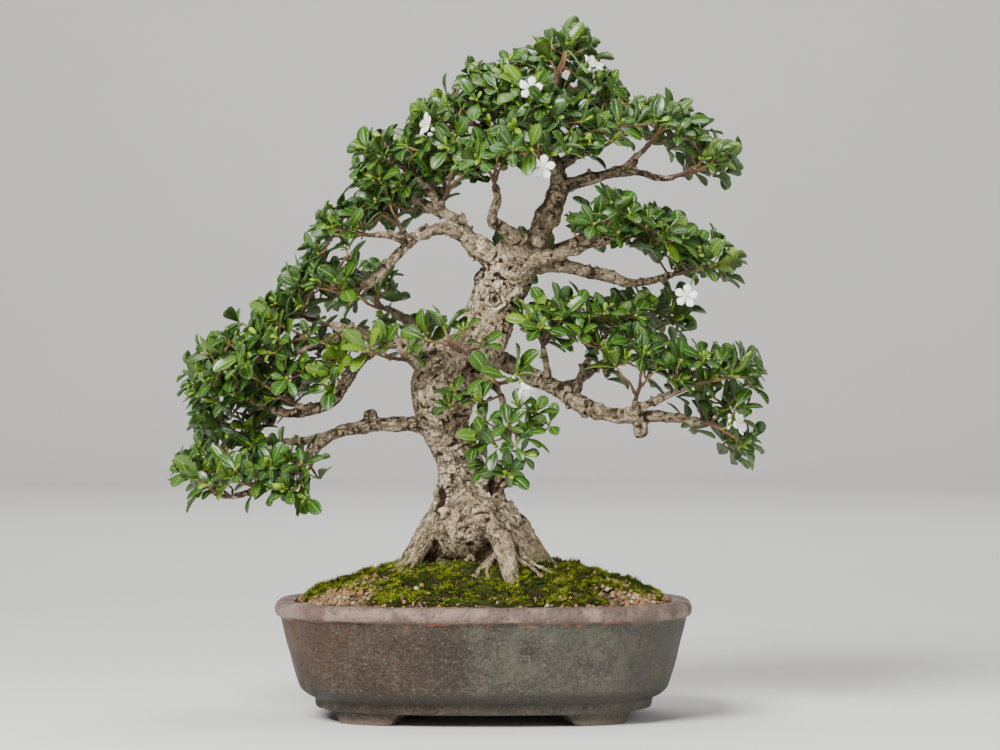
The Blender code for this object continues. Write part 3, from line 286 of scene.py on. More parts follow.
def drift_at(points, size, seed, step):
    """Smooth noise along each of the three axes at each point."""
    return np.stack([noise_at(points, size, seed + axis * step) for axis in range(3)], 1)


def cells_at(points, size, seed):
    """Distance from the nearest cell's middle and from the edge between cells, at each point."""
    scaled = np.asarray(points, float) / size + seed
    found = np.array([noise.voronoi(place)[0][:2] for place in scaled.tolist()])
    return found[:, 0], found[:, 1] - found[:, 0]


def smoothstep(low, high, values):
    """Rise from 0 to 1 between two limits, level at both ends."""
    share = np.clip((values - low) / (high - low), 0.0, 1.0)
    return share * share * (3.0 - 2.0 * share)


def smooth_path(rows, step):
    """Curve through the rows, with a row about every step along it."""
    rows = np.asarray(rows, float)
    ends = np.vstack([2.0 * rows[0] - rows[1], rows, 2.0 * rows[-1] - rows[-2]])
    parts = []
    for index in range(1, len(ends) - 2):
        before, start, end, after = ends[index - 1:index + 3]
        count = max(2, int(np.linalg.norm((end - start)[:3]) / step))
        t = np.linspace(0.0, 1.0, count, endpoint=False)[:, None]
        curve = 2.0 * start + (end - before) * t
        curve = curve + (2.0 * before - 5.0 * start + 4.0 * end - after) * t ** 2
        curve = curve + (3.0 * start - before - 3.0 * end + after) * t ** 3
        parts.append(curve / 2.0)
    path = np.vstack(parts + [rows[-1:]])
    if path.shape[1] > 3:
        path[:, 3] = np.maximum(path[:, 3], rows[:, 3].min())
    return path


def bent_path(start, start_way, end, end_way, radii, count):
    """Smooth path from one place and heading to another."""
    start, end = np.asarray(start, float), np.asarray(end, float)
    reach = np.linalg.norm(end - start) / 3.0
    pulls = [start, start + unit(start_way) * reach, end - unit(end_way) * reach, end]
    t = np.linspace(0.0, 1.0, count)[:, None]
    path = ((1 - t) ** 3 * pulls[0] + 3 * (1 - t) ** 2 * t * pulls[1]
            + 3 * (1 - t) * t ** 2 * pulls[2] + t ** 3 * pulls[3])
    return np.hstack([path, radii[0] + (radii[1] - radii[0]) * t])


def axes_along(path):
    """Direction of the path and two directions across it, at each row."""
    centres = path[:, :3]
    ways = unit(np.vstack([centres[1:2] - centres[:1], centres[2:] - centres[:-2],
                           centres[-1:] - centres[-2:-1]]))
    across = np.empty_like(ways)
    across[0] = Vector(ways[0]).orthogonal().normalized()
    for row in range(1, len(ways)):
        previous = across[row - 1]
        across[row] = unit(previous - ways[row] * previous.dot(ways[row]))
    return ways, across, np.cross(ways, across)


def spoke(across, beside, turn):
    """Way out from an axis at a turn round it."""
    return across * math.cos(turn) + beside * math.sin(turn)


def band_faces(rows, sides):
    """Faces between closed rings of points, ring after ring."""
    faces = []
    for low in range(0, (rows - 1) * sides, sides):
        for side in range(sides):
            after = (side + 1) % sides
            faces.append((low + side, low + after, low + sides + after, low + sides + side))
    return faces


def stack_faces(rows, sides):
    """Faces of a stack of rings that is closed at both ends."""
    ends = [tuple(reversed(range(sides))), tuple(range((rows - 1) * sides, rows * sides))]
    return ends + band_faces(rows, sides)


def grid_rim(rows, columns):
    """Neighbouring corners along the edge of a grid of points, as pairs that go once round it."""
    rim = list(range(columns))
    rim += [row * columns + columns - 1 for row in range(1, rows)]
    rim += list(range(rows * columns - 2, (rows - 1) * columns - 1, -1))
    rim += [row * columns for row in range(rows - 2, 0, -1)]
    return list(zip(rim, rim[1:] + rim[:1]))


def tube(path, sides, swell=None):
    """Points and faces of a closed round tube, with its radius swollen by a function of turn and row."""
    path = np.asarray(path, float)
    _, across, beside = axes_along(path)
    turns = np.arange(sides) * math.tau / sides
    radius = path[:, 3:4] * np.ones(sides)
    if swell is not None:
        radius = radius * swell(turns[None, :], path)
    ring = (across[:, None, :] * np.cos(turns)[None, :, None]
            + beside[:, None, :] * np.sin(turns)[None, :, None])
    points = path[:, None, :3] + ring * radius[:, :, None]
    points = np.vstack([points.reshape(-1, 3), path[0, :3], path[-1, :3]])
    faces = band_faces(len(path), sides)
    last = (len(path) - 1) * sides
    for side in range(sides):
        after = (side + 1) % sides
        faces.append((last + sides, after, side))
        faces.append((last + sides + 1, last + side, last + after))
    return points, faces


def joined(shapes):
    """One list of points and one of faces from several shapes."""
    points, faces, start = [], [], 0
    for some_points, some_faces in shapes:
        points.append(some_points)
        faces += [tuple(corner + start for corner in face) for face in some_faces]
        start += len(some_points)
    return np.vstack(points), faces


def oval(length, width, angle):
    """Points of a squarish oval of the given length and width."""
    cosine, sine = np.cos(angle), np.sin(angle)
    x = np.sign(cosine) * np.abs(cosine) ** (2.0 / OVAL_POWER) * length / 2.0
    y = np.sign(sine) * np.abs(sine) ** (2.0 / OVAL_POWER) * width / 2.0
    return x, y


def mound_height(share):
    """Height of the soil at a share of the way out."""
    return SOIL_EDGE + MOUND_RISE * (1.0 - np.maximum(share, MOUND_TOP) ** MOUND_POWER)


def mound_place(share, angle):
    """Place on the soil at a share of the way out, in the pot's millimetres."""
    reach = POT_LENGTH - 2.0 * (RIM_BAND + WALL_GAP)
    x, y = oval(reach, reach - (POT_LENGTH - POT_WIDTH), angle)
    return np.stack([x * share, y * share, mound_height(share) + 0.0 * x], axis=-1)


# Shader nodes

class Net:
    """Places nodes in one tree and joins them."""

    def __init__(self, tree):
        self.tree = tree

    def put(self, node, inputs):
        """Join or set the node's inputs."""
        for key, value in inputs.items():
            if isinstance(value, bpy.types.NodeSocket):
                self.tree.links.new(value, node.inputs[key])
            else:
                node.inputs[key].default_value = value
        return node

    def add(self, kind, inputs, **settings):
        node = self.tree.nodes.new("ShaderNode" + kind)
        for key, value in settings.items():
            setattr(node, key, value)
        return self.put(node, inputs)

    def math(self, operation, first, second=0.0, clamp=False):
        return self.add("Math", {0: first, 1: second}, operation=operation, use_clamp=clamp).outputs[0]

    def plus(self, first, second, clamp=False):
        return self.math("ADD", first, second, clamp)

    def minus(self, first, second):
        return self.math("SUBTRACT", first, second)

    def times(self, first, second):
        return self.math("MULTIPLY", first, second)

    def larger(self, first, second, clamp=False):
        return self.math("MAXIMUM", first, second, clamp)

    def mix(self, share, first, second):
        """Blend two colours."""
        first, second = (value if isinstance(value, bpy.types.NodeSocket) else rgb(value)
                         for value in (first, second))
        return self.add("Mix", {0: share, 6: first, 7: second}, data_type="RGBA").outputs[2]

    def coated(self, base, *coats):
        """The base colour under coats of (share, colour), each over the last."""
        for share, tint in coats:
            base = self.mix(share, base, tint)
        return base

    def ramp(self, value, stops, interpolation="LINEAR"):
        """Colour looked up along stops of (place, colour)."""
        node = self.add("ValToRGB", {0: value})
        node.color_ramp.interpolation = interpolation
        elements = node.color_ramp.elements
        while len(elements) < len(stops):
            elements.new(0.5)
        for element, (place, tint) in zip(elements, stops):
            element.position = place
            element.color = rgb(tint)
        return node.outputs[0]

    def between(self, value, low, high, start=0.0, end=1.0):
        """The value's place between two limits, smoothly."""
        return self.add("MapRange", {0: value, 1: low, 2: high, 3: start, 4: end},
                        interpolation_type="SMOOTHSTEP").outputs[0]

    def layer(self, key, output="Fac"):
        """A value stored on the mesh."""
        return self.add("Attribute", {}, attribute_name=key).outputs[output]

    def place(self):
        """Place on the object, in metres."""
        return self.add("TexCoord", {}).outputs["Object"]

    def axis(self, place, key):
        return self.add("SeparateXYZ", {0: place}).outputs[key]

    def stretched(self, place, scale):
        return self.add("Mapping", {0: place, 3: scale}).outputs[0]

    def noise(self, place, scale, detail=3.0, rough=0.55, distortion=0.0):
        return self.add("TexNoise", {"Vector": place, "Scale": scale, "Detail": detail, "Roughness": rough,
                                     "Distortion": distortion}).outputs["Fac"]

    def cells(self, place, scale):
        """Distance from the nearest cell's middle, and a tone of its own for each cell."""
        node = self.add("TexVoronoi", {"Vector": place, "Scale": scale})
        return node.outputs["Distance"], self.add("SeparateColor", {0: node.outputs["Color"]}).outputs[0]

    def cracks(self, place, scale):
        """Distance from the edges of a net of cells."""
        return self.add("TexVoronoi", {"Vector": place, "Scale": scale},
                        feature="DISTANCE_TO_EDGE").outputs["Distance"]

    def bumps(self, *reliefs):
        """Normal bent by reliefs of (height, distance, strength), each over the last."""
        under = {}
        for height, distance, strength in reliefs:
            inputs = {"Height": height, "Distance": distance, "Strength": strength, **under}
            under = {"Normal": self.add("Bump", inputs).outputs["Normal"]}
        return under["Normal"]

    def effect(self, name, *values):
        """What a shared effect puts out, given its place, its scale and any other value it takes."""
        node = self.add("Group", {}, node_tree=effect_tree(name))
        self.put(node, dict(zip(node.inputs.keys(), values)))
        outputs = tuple(node.outputs)
        return outputs if len(outputs) > 1 else outputs[0]


def fill_mottle(net, place, scale, contrast):
    """Soft blotches with a finer grain broken into them."""
    broad = net.noise(place, scale, 4.0, 0.6, 0.4)
    fine = net.noise(place, net.times(scale, 7.0), 3.0, 0.7)
    both = net.plus(net.times(broad, 0.78), net.times(fine, 0.22))
    return (net.between(both, net.minus(0.5, contrast), net.plus(0.5, contrast)),)


def fill_speckle(net, place, scale, share):
    """Small separate spots, thinned out by a share."""
    distance, tone = net.cells(place, scale)
    return (net.times(net.math("LESS_THAN", tone, share), net.between(distance, 0.42, 0.18)),)


def fill_wrinkle(net, place, scale):
    """Thin wandering lines that come and go."""
    wave = net.math("ABSOLUTE", net.minus(net.noise(place, scale, 2.0, 0.5, 0.6), 0.5))
    patch = net.between(net.noise(place, net.times(scale, 0.4), 2.0), 0.42, 0.6)
    return (net.times(net.between(wave, 0.045, 0.008), patch),)


def fill_flakes(net, place, scale):
    """Uneven plates with sharp edges: how high each stands, and a painted shadow line round some of them.
    """
    bent = net.add("TexNoise", {"Vector": place, "Scale": net.times(scale, 0.6), "Detail": 2.0})
    pull = net.add("VectorMath", {0: bent.outputs["Color"], 1: (0.0022, 0.0022, 0.0022)},
                   operation="MULTIPLY").outputs[0]
    moved = net.add("VectorMath", {0: place, 1: pull}, operation="ADD").outputs[0]
    distance, tone = net.cells(moved, scale)
    line = net.between(net.cracks(moved, scale), 0.2, 0.05)
    patch = net.between(net.noise(place, net.times(scale, 0.35), 2.0), 0.46, 0.6)
    return net.minus(tone, net.times(distance, 0.7)), net.times(line, patch)


# Effects that are used more than once: how each is filled, its numbers besides the place, its outputs
EFFECTS = {
    "Mottle": (fill_mottle, {"Scale": 40.0, "Contrast": 0.3}, ("Mask",)),
    "Speckle": (fill_speckle, {"Scale": 900.0, "Share": 0.3}, ("Mask",)),
    "Wrinkle": (fill_wrinkle, {"Scale": 400.0}, ("Mask",)),
    "Flakes": (fill_flakes, {"Scale": 600.0}, ("Level", "Edge")),
}


def effect_tree(name):
    """The node group of an effect, filled the first time that a material asks for it."""
    if name in bpy.data.node_groups:
        return bpy.data.node_groups[name]
    fill, inputs, outputs = EFFECTS[name]
    tree = bpy.data.node_groups.new(name, "ShaderNodeTree")
    tree.interface.new_socket("Place", in_out="INPUT", socket_type="NodeSocketVector")
    for key, default in inputs.items():
        socket = tree.interface.new_socket(key, in_out="INPUT", socket_type="NodeSocketFloat")
        socket.default_value = default
    for key in outputs:
        tree.interface.new_socket(key, in_out="OUTPUT", socket_type="NodeSocketFloat")
    start, end = tree.nodes.new("NodeGroupInput"), tree.nodes.new("NodeGroupOutput")
    net = Net(tree)
    net.put(end, dict(zip(outputs, fill(net, *start.outputs[:len(inputs) + 1]))))
    return tree


class Finish(Net):
    """A material, with the nodes that feed its Principled shader."""

    def __init__(self, name):
        self.material = bpy.data.materials.new(name)
        self.material.use_nodes = True
        super().__init__(self.material.node_tree)

    def done(self, base, rough, normal=None, gloss=0.5):
        """Join the colour, roughness and normal to the shader, and hand out the material."""
        inputs = {"Base Color": base, "Roughness": rough, "Specular IOR Level": gloss}
        if normal is not None:
            inputs["Normal"] = normal
        self.put(self.tree.nodes["Principled BSDF"], inputs)
        return self.material


def rgb(tint):
    """A colour with its alpha."""
    return (*tint[:3], 1.0)


# Wood

SCAR = (5.0, -7.5, 179.8)         # pruning scar on the upper trunk
SPIRAL = 0.035                    # turn of the grain round a limb, for each mm along it
COLLAR_ROWS = 13
COLLAR_RADIUS = 3.2               # of the thinnest branch that has a collar on the trunk
COLLAR_TAPER = (1.02, 0.86)
FOOT_REACH = 0.8                  # a branch ends at a spray's foot that is this near
SCRAP_POINTS = 300                # loose bodies with fewer points are dropped
NEAR_ROWS = 6                     # rows of limbs that a point of the bark chooses from

# Middle, half sizes and depth: hollow knot on the left, crevice on the right, the gap under the belly and
# the fold over the upper bulge, each sunk and also painted dark with painted shade
SHADED_HOLLOWS = (
    ((-18.9, -10.6, 96.0), (4.8, 6.0, 7.6), 3.2),
    ((3.5, -8.0, 101.0), (1.8, 6.0, 8.0), 2.6),
    ((-9.0, -14.0, 64.5), (13.0, 9.0, 4.6), 2.4),
    ((0.0, -13.0, 149.0), (7.0, 6.0, 1.8), 1.4),
)

# Where the bark is deeply pitted: the left of the upper bulge, the burl on the right and the fork
CRUSTS = (((-22.0, -12.0, 131.0), (10.0, 11.0, 10.0)), ((9.0, -5.0, 100.0), (9.0, 9.0, 10.0)),
          ((6.0, -2.0, 192.0), (14.0, 12.0, 10.0)))

# Thin bare roots that creep over the moss, and two thicker ones that fill the foot on the left
ROOTLETS = (
    ((12, -24, 71, 1.2), (19, -30, 67, 0.95), (25, -36, 62, 0.8)),
    ((15, -18, 71, 1.2), (22, -26, 67, 0.95), (31, -30, 63, 0.7)),
    ((5, -23, 70, 1.1), (2, -31, 66, 0.9), (2, -38, 62, 0.7)),
    ((-28, -12, 70, 1.5), (-31, -20, 65, 1.1), (-38, -27, 61, 0.8)),
    ((-4, -12, 70, 1.4), (-9, -22, 67, 1.1), (-16, -27, 64, 0.8)),
    ((-12, 4, 79, 7.0), (-23, 5, 68, 5.5), (-34, 8, 58, 3.0)),
    ((-13, 0, 84, 7.0), (-18, 2, 74, 6.5), (-20, 3, 60, 6.0)),
)


class Limb:
    """One stretch of wood: its smooth path with a running length, and its own place in the grain."""

    def __init__(self, name, path, sides, crook):
        self.name = name
        self.sides = sides
        rng = random.Random("limb " + name)
        self.offset = rng.uniform(0.0, 900.0)
        rows = smooth_path(path, 1.0)
        run = np.concatenate([[0.0], np.cumsum(np.linalg.norm(np.diff(rows[:, :3], axis=0), axis=1))])
        ease = np.sin(np.clip(run / max(run[-1], 1e-6), 0.0, 1.0) * math.pi) ** 0.5
        shift = drift_at(rows[:, :3], 7.0, self.offset, 31.0)
        rows[:, :3] += shift * (ease * crook * np.minimum(rows[:, 3], 3.0))[:, None]
        knots = noise_at(rows[:, :3], 3.2, self.offset) + 0.7 * noise_at(rows[:, :3], 7.0, self.offset)
        rows[:, 3] *= 1.0 + 0.3 * np.clip(knots, -0.4, 0.9) * min(crook * 3.0, 1.0)
        self.rows, self.run = rows, run
        self.ways, self.across, self.beside = axes_along(rows)

    def shape(self, swell=None):
        """The limb as a tube."""
        return tube(self.rows, self.sides, swell)


def trunk_swell(turns, rows):
    """Flutes of the trunk, deeper towards its foot."""
    height = rows[:, 2:3]
    depth = 0.05 + 0.001 * np.clip(95.0 - height, 0.0, None)
    return (1.0 + depth * np.cos(3.0 * turns + 0.02 * height)
            + 0.022 * np.sin(7.0 * turns + 0.09 * height) * np.sin(0.11 * height))


def distance_to_path(path, place):
    """Least distance of a place from a path of straight stretches, and the stretch and share there."""
    best = (1e9, 0, 0.0)
    for index in range(len(path) - 1):
        start, end = np.array(path[index][:3], float), np.array(path[index + 1][:3], float)
        along = end - start
        share = float(np.clip(np.dot(place - start, along) / np.dot(along, along), 0.0, 1.0))
        best = min(best, (float(np.linalg.norm(start + along * share - place)), index, share))
    return best


def cut_path(path, base):
    """The path as far as a spray's foot."""
    _, index, share = distance_to_path(path, base)
    rows = [np.array(row, float) for row in path[:index + 1]]
    end = rows[-1] + (np.array(path[index + 1], float) - rows[-1]) * share
    end[:3] = base
    end[3] = max(end[3], TWIG_RADIUS)
    if len(rows) > 1 and np.linalg.norm(rows[-1][:3] - base) < 2.0:
        rows.pop()
    return rows + [end]


def make_limbs(sprays):
    """Trunk, roots, branches cut at their sprays, spurs to the side sprays, and pruned stubs."""
    limbs = [Limb("trunk", TRUNK, 48, 0.0)]
    limbs += [Limb("root " + name, path, 20, 0.12) for name, path in ROOTS.items()]
    feet = [spray.foot for spray in sprays]
    ended = set()
    for name, path in BRANCHES.items():
        close = [index for index, foot in enumerate(feet)
                 if distance_to_path(path, foot)[0] < FOOT_REACH]
        if close:
            ended.add(close[0])
            path = cut_path(path, feet[close[0]])
        limbs.append(Limb(name, path, 14, 0.28))
    branches = limbs[1 + len(ROOTS):]
    rows = np.vstack([limb.rows for limb in branches])
    for index, spray in enumerate(sprays):
        if index in ended:
            continue
        back = spray.foot - rows[:, :3]
        along = np.maximum(back @ spray.way, 0.0)
        off = np.linalg.norm(back - along[:, None] * spray.way, axis=1)
        near = int(np.argmin(off * 2.0 + along * 0.6))
        root = rows[near]
        middle = (root[:3] + spray.foot) / 2.0
        path = ((*root[:3], min(2.0, root[3])), (*middle, 1.5), (*spray.foot, 1.15))
        limbs.append(Limb("spur " + spray.name, path, 10, 0.3))
    limbs += [Limb("stub " + name, rounded_end(path), 12, 0.1) for name, path in STUBS.items()]
    return limbs, branches


def rounded_end(path):
    """The path with a shrinking row after its last, so that it ends as a knob."""
    last = np.array(path[-1], float)
    way = unit(last[:3] - np.array(path[-2][:3], float))
    return (*path[:-1], (*(last[:3] - way * 0.8), last[3]), (*(last[:3] + way * 0.5), last[3] * 0.55))


def make_knobs(branches, count):
    """Short woody spurs and pruned buds all along the branches."""
    rng = random.Random("knobs")
    shapes = []
    for _ in range(count):
        limb = rng.choice(branches)
        row = rng.randrange(4, max(5, len(limb.rows) - 4))
        row = min(row, len(limb.rows) - 1)
        place, radius = limb.rows[row, :3], limb.rows[row, 3]
        turn = rng.uniform(0.0, math.tau)
        out = spoke(limb.across[row], limb.beside[row], turn)
        way = unit(out + limb.ways[row] * rng.uniform(-0.3, 0.8) + UP * 0.25)
        length = radius + rng.uniform(0.5, 2.4) * min(1.0, radius / 2.0)
        size = rng.uniform(0.45, 0.8) * min(radius, 2.2)
        path = np.array([(*place, size), (*(place + way * length * 0.7), size * 0.8),
                         (*(place + way * length), size * 0.95)])
        shapes.append(tube(smooth_path(path, 1.0), 8))
    return shapes


def grain_of(points, limbs):
    """Straight coordinates of bark: along the nearest limb and across it, and the limb's radius."""
    tree = KDTree(sum(len(limb.rows) for limb in limbs))
    owners = []
    for number, limb in enumerate(limbs):
        for row in range(len(limb.rows)):
            tree.insert(limb.rows[row, :3], len(owners))
            owners.append((number, row))
    tree.balance()
    owners = np.array(owners)
    reach = np.concatenate([limb.rows[:, 3] for limb in limbs])
    found = np.empty(len(points), int)
    for index, place in enumerate(points.tolist()):
        close = tree.find_n(place, NEAR_ROWS)
        found[index] = min(close, key=lambda item: item[2] - reach[item[1]])[1]
    picked = owners[found]
    grain = np.empty((len(points), 3))
    radius = reach[found]
    for number, limb in enumerate(limbs):
        mine = np.nonzero(picked[:, 0] == number)[0]
        if not len(mine):
            continue
        rows = picked[mine, 1]
        away = points[mine] - limb.rows[rows, :3]
        grain[mine, 0] = limb.run[rows] + np.einsum("ij,ij->i", away, limb.ways[rows]) + limb.offset
        grain[mine, 1] = np.einsum("ij,ij->i", away, limb.across[rows])
        grain[mine, 2] = np.einsum("ij,ij->i", away, limb.beside[rows])
    return grain, radius


def ball(points, middle, radii):
    """Share of the way from a rounded region's edge to its middle, at each point."""
    away = (points - np.array(middle)) / np.array(radii)
    return np.clip(1.0 - np.linalg.norm(away, axis=1), 0.0, 1.0)


def bark_relief(points, grain, radius, depth):
    """Height of the bark at each point in millimetres, and how dark its cracks, pits and hollows are:
    partly their own colour, partly painted shade.
    """
    size = np.clip(radius / 9.0, 0.16, 1.0)
    turn = grain[:, 0] * SPIRAL
    lined = np.stack([grain[:, 0] * 0.42, grain[:, 1] * np.cos(turn) - grain[:, 2] * np.sin(turn),
                      grain[:, 1] * np.sin(turn) + grain[:, 2] * np.cos(turn)], 1)
    bend = drift_at(points, 4.5, 60.0, 9.0)
    lined += bend * 1.5
    height = size * layered_noise(points, (0.9, 12.0, 3.0), (0.6, 5.0, 9.0))
    coarse = 1.0 - 2.4 * np.abs(noise_at(lined, 3.4, 17.0))
    fine = 1.0 - 2.4 * np.abs(noise_at(lined, 1.7, 23.0))
    height += size ** 0.6 * (0.45 * coarse + 0.5 * fine)
    height += size ** 0.5 * 0.26 * noise_at(points, 1.0, 41.0)
    ringed = noise_at(grain * (1.0, 0.3, 0.3) + 0.6 * bend, 1.4, 71.0)
    height += size ** 0.5 * (0.5 - 0.25 * size) * ringed
    crust = sum(smoothstep(0.1, 0.5, ball(points, *place)) for place in CRUSTS)
    shelf, _ = cells_at(lined * (1.6, 1.0, 1.0) + bend, 2.0, 61.0)
    height += size ** 0.5 * (0.6 + 0.7 * crust) * (0.45 - shelf)
    middle, _ = cells_at(0.6 * points + 0.4 * lined + 1.7 * bend, 2.4, 7.0)
    patch = smoothstep(-0.1, 0.3, noise_at(points, 6.0, 33.0) + 0.8 * crust)
    pits = (1.0 - smoothstep(0.08, 0.34 + 0.12 * crust, middle)) * patch * (1.0 + 1.2 * crust)
    _, edge = cells_at(lined, 4.2, 2.0)
    cracks = (1.0 - smoothstep(0.0, 0.09, edge)) * smoothstep(0.0, 0.35, noise_at(points, 8.0, 21.0))
    height -= size ** 0.5 * (0.6 * pits + 0.4 * cracks)
    hollows = np.clip(-0.8 * np.minimum(coarse, 0.0) - 0.6 * np.minimum(fine, 0.0), 0.0, 1.0)
    # Painted shade: pits, cracks, sunken valleys and low rings are darkened as shade, besides their own
    # darker colour.
    dark = np.clip(0.95 * pits + 0.6 * cracks + 0.7 * hollows + 0.6 * smoothstep(0.2, 0.5, -ringed),
                   0.0, 1.0)
    calm = smoothstep(88.0, 78.0, points[:, 2]) * smoothstep(10.0, 15.0, np.abs(points[:, 0] + 5.0))
    height, dark = height * (1.0 - 0.45 * calm), dark * (1.0 - 0.45 * calm)

    away = points - np.array(SCAR)
    around = np.arctan2(away[:, 2], away[:, 0])
    ring = np.hypot(away[:, 0], away[:, 2]) * (1.0 + 0.14 * np.sin(2.0 * around + 0.7)
                                               + 0.1 * np.sin(5.0 * around))
    front = (points[:, 1] < 0.0) & (np.abs(away[:, 1]) < 7.0)
    rings = 1.5 * np.exp(-((ring - 3.9) / 0.8) ** 2) + 0.4 * np.cos(ring * 3.4 + np.sin(3.0 * around))
    rings -= 1.7 * np.exp(-(ring / 1.2) ** 2)
    inside = front * (1.0 - smoothstep(4.6, 5.8, ring))
    height = height * (1.0 - 0.7 * inside) + rings * inside
    scar_dark = np.clip(np.exp(-(ring / 1.3) ** 2) + 0.8 * np.exp(-((ring - 2.6) / 0.35) ** 2)
                        + 0.8 * np.exp(-((ring - 5.2) / 0.5) ** 2), 0.0, 1.0)
    dark = dark * (1.0 - inside) + np.maximum(scar_dark, 0.4 * dark) * inside

    for middle_of, radii, drop in SHADED_HOLLOWS:
        share = ball(points + 0.9 * bend, middle_of, radii)
        height -= drop * smoothstep(0.12, 0.55, share)
        height += 0.7 * np.exp(-((share - 0.1) / 0.1) ** 2) * (share > 0.0)
        # Painted shade: the middle of each hollow is painted dark as shade, not only sunk.
        dark = np.maximum(dark, smoothstep(0.16, 0.4, share))
    return depth * (height - 0.3 * size), dark


def fused_mesh(shapes, voxel):
    """One skin round overlapping closed shapes, as a mesh in metres."""
    points, faces = joined(shapes)
    mesh = bpy.data.meshes.new("limbs")
    mesh.from_pydata((points * MM).tolist(), [], faces)
    rough = linked("limbs", mesh)
    fuse = rough.modifiers.new("fuse", "REMESH")
    fuse.mode = "VOXEL"
    fuse.voxel_size = voxel
    ease = rough.modifiers.new("ease", "SMOOTH")
    ease.factor = 0.5
    ease.iterations = 3
    fused = applied(rough)
    bpy.data.objects.remove(rough, do_unlink=True)
    drop_scraps(fused)
    return fused


def barked(name, fused, limbs, settings, material, stands_for):
    """Wrinkle the skin of some limbs and make a piece of it."""
    places, normals = vectors_of(fused.vertices, "co") / MM, vectors_of(fused.vertex_normals, "vector")
    grain, radius = grain_of(places, limbs)
    height, dark = bark_relief(places, grain, radius, settings.relief)
    move_points(fused, places + normals * height[:, None])
    # The crack layer holds the darkness of cracks, pits and hollows, partly their own colour and partly
    # painted shade.
    layers = {"bark_crack": dark, "bark_height": height, "bark_grain": grain * MM,
              "bark_thick": np.clip(radius / 10.0, 0.0, 1.0)}
    dressed(name, fused, material, stands_for, layers)


def make_bark(sprays, settings, material):
    """The trunk with its roots and the collars of its branches, finer than the branches themselves."""
    limbs, branches = make_limbs(sprays)
    low = [limb for limb in limbs if limb.name == "trunk" or limb.name.startswith(("root", "stub trunk"))]
    high = [limb for limb in limbs if limb not in low]
    collars = []
    for limb in high:
        if limb.rows[0, 3] < COLLAR_RADIUS or limb.name.startswith(("stub", "spur")):
            continue
        rows = limb.rows[:COLLAR_ROWS].copy()
        rows[:, 3] *= np.linspace(*COLLAR_TAPER, len(rows))
        collars.append(tube(rows, limb.sides))
    belly = tube(smooth_path(BELLY, 1.5), 40)
    rootlets = [Limb("rootlet", path, 8, 0.5).shape() for path in ROOTLETS]
    skin = fused_mesh([low[0].shape(trunk_swell), belly] + [limb.shape() for limb in low[1:]]
                      + rootlets + collars, settings.grain_size)
    barked("bark", skin, limbs, settings, material, ("tree",))
    skin = fused_mesh([limb.shape() for limb in high] + make_knobs(branches, settings.knobs),
                      settings.branch_grain)
    barked("branches", skin, limbs, settings, material, ())


def drop_scraps(mesh):
    """Drop the small loose bodies that the fusing leaves."""
    shell = bmesh.new()
    shell.from_mesh(mesh)
    left = set(shell.verts)
    scraps = []
    while left:
        found = [left.pop()]
        for vert in found:
            for edge in vert.link_edges:
                other = edge.other_vert(vert)
                if other in left:
                    left.remove(other)
                    found.append(other)
        if len(found) < SCRAP_POINTS:
            scraps += found
    bmesh.ops.delete(shell, geom=scraps, context="VERTS")
    shell.to_mesh(mesh)
    shell.free()


# Foliage

BLOOMS = {
    "crown": ("crown_mid", (20, -40, 268), (0.0, -1.0, 0.15)),
    "left": ("crown_left", (-25, -26, 254), (-0.8, -0.5, 0.2)),
    "centre": ("crown_front", (25, -54, 234), (0.1, -1.0, -0.1)),
    "right": ("mid_right_tip", (86, -28, 181), (0.0, -1.0, 0.1)),
    "top": ("crown_top", (48, -6, 282), (0.6, -0.4, 0.7)),
    "front": ("front_upper", (17, -55, 142), (0.35, -0.35, -0.85)),
    "low_right": ("low_right_end", (109, -30, 127), (0.8, -0.5, 0.2)),
}
LEAF_ROWS = 8
LEAF_COLUMNS = (-1.0, -0.55, 0.0, 0.55, 1.0)
BUD_ROWS = 5
BUD_COLUMNS = (-1.0, 0.0, 1.0)
OUTLINE_POWER = 1.6           # puts the widest part of a blade past its middle
TIP_POWER = 0.62              # below 1 rounds the tip
NEIGHBOUR_REACH = 31.0        # whorls fill the gaps between leaves that are this close
LEVEL_WEIGHT = 1.7            # heights count this much more in that distance
WHORL_ROOM = 7.6              # from one whorl to the next
DEEP_SHARE = 0.38             # plainer whorls set back behind the others, to close the crown
FRONT_PLACE = (-19, 100, 34, 146)  # x and z of the lower left and upper right of the front shoots
WOOD_ROOM = 3.0
FLOWER_ROOM = 9.0
TWIG_REACH = 22.0             # longest side twig
FRONT_SPRAYS = ("front_upper", "front_low", "front_shoot")
SAME_LENGTH = 0.03            # how far two lengths of a stand-in may differ and count as one
LEAF_WIDTHS = (0.5, 0.58)     # of full-grown leaves, as shares of their length
YOUNG_WHORLS = 0.22           # share of a spray's own whorls with lighter leaves
TRIES = 40                    # places tried for each added whorl
FULL_LEAF = 12.0              # length of a leaf with the whole fold and arch
LEAF_ARCH = 0.9               # how high its middle stands over its ends
GOLDEN_TURN = 2.399           # from one leaf of a whorl to the next, in radians
BUD_TURN = 2.1
CROWN_HEART = (8.0, 6.0, 0.0)  # whorls face away from the line above this place
CROWN_DEPTH = 73.0            # no whorl farther from the middle, to the front or rear

# Stretches of wood that stay in sight from the front: x and z of the lower left and upper right
OPEN_PLACES = (
    (-12, 183, 34, 229), (-32, 84, 8, 184), (-68, 117, -27, 133), (-62, 146, -24, 172), (34, 184, 74, 196),
    (34, 227, 84, 239), (28, 122, 88, 144), (-36, 197, 0, 213), (-66, 157, -34, 170),
    (-32, 137, 14, 176), (-126, 119, -84, 131),
)

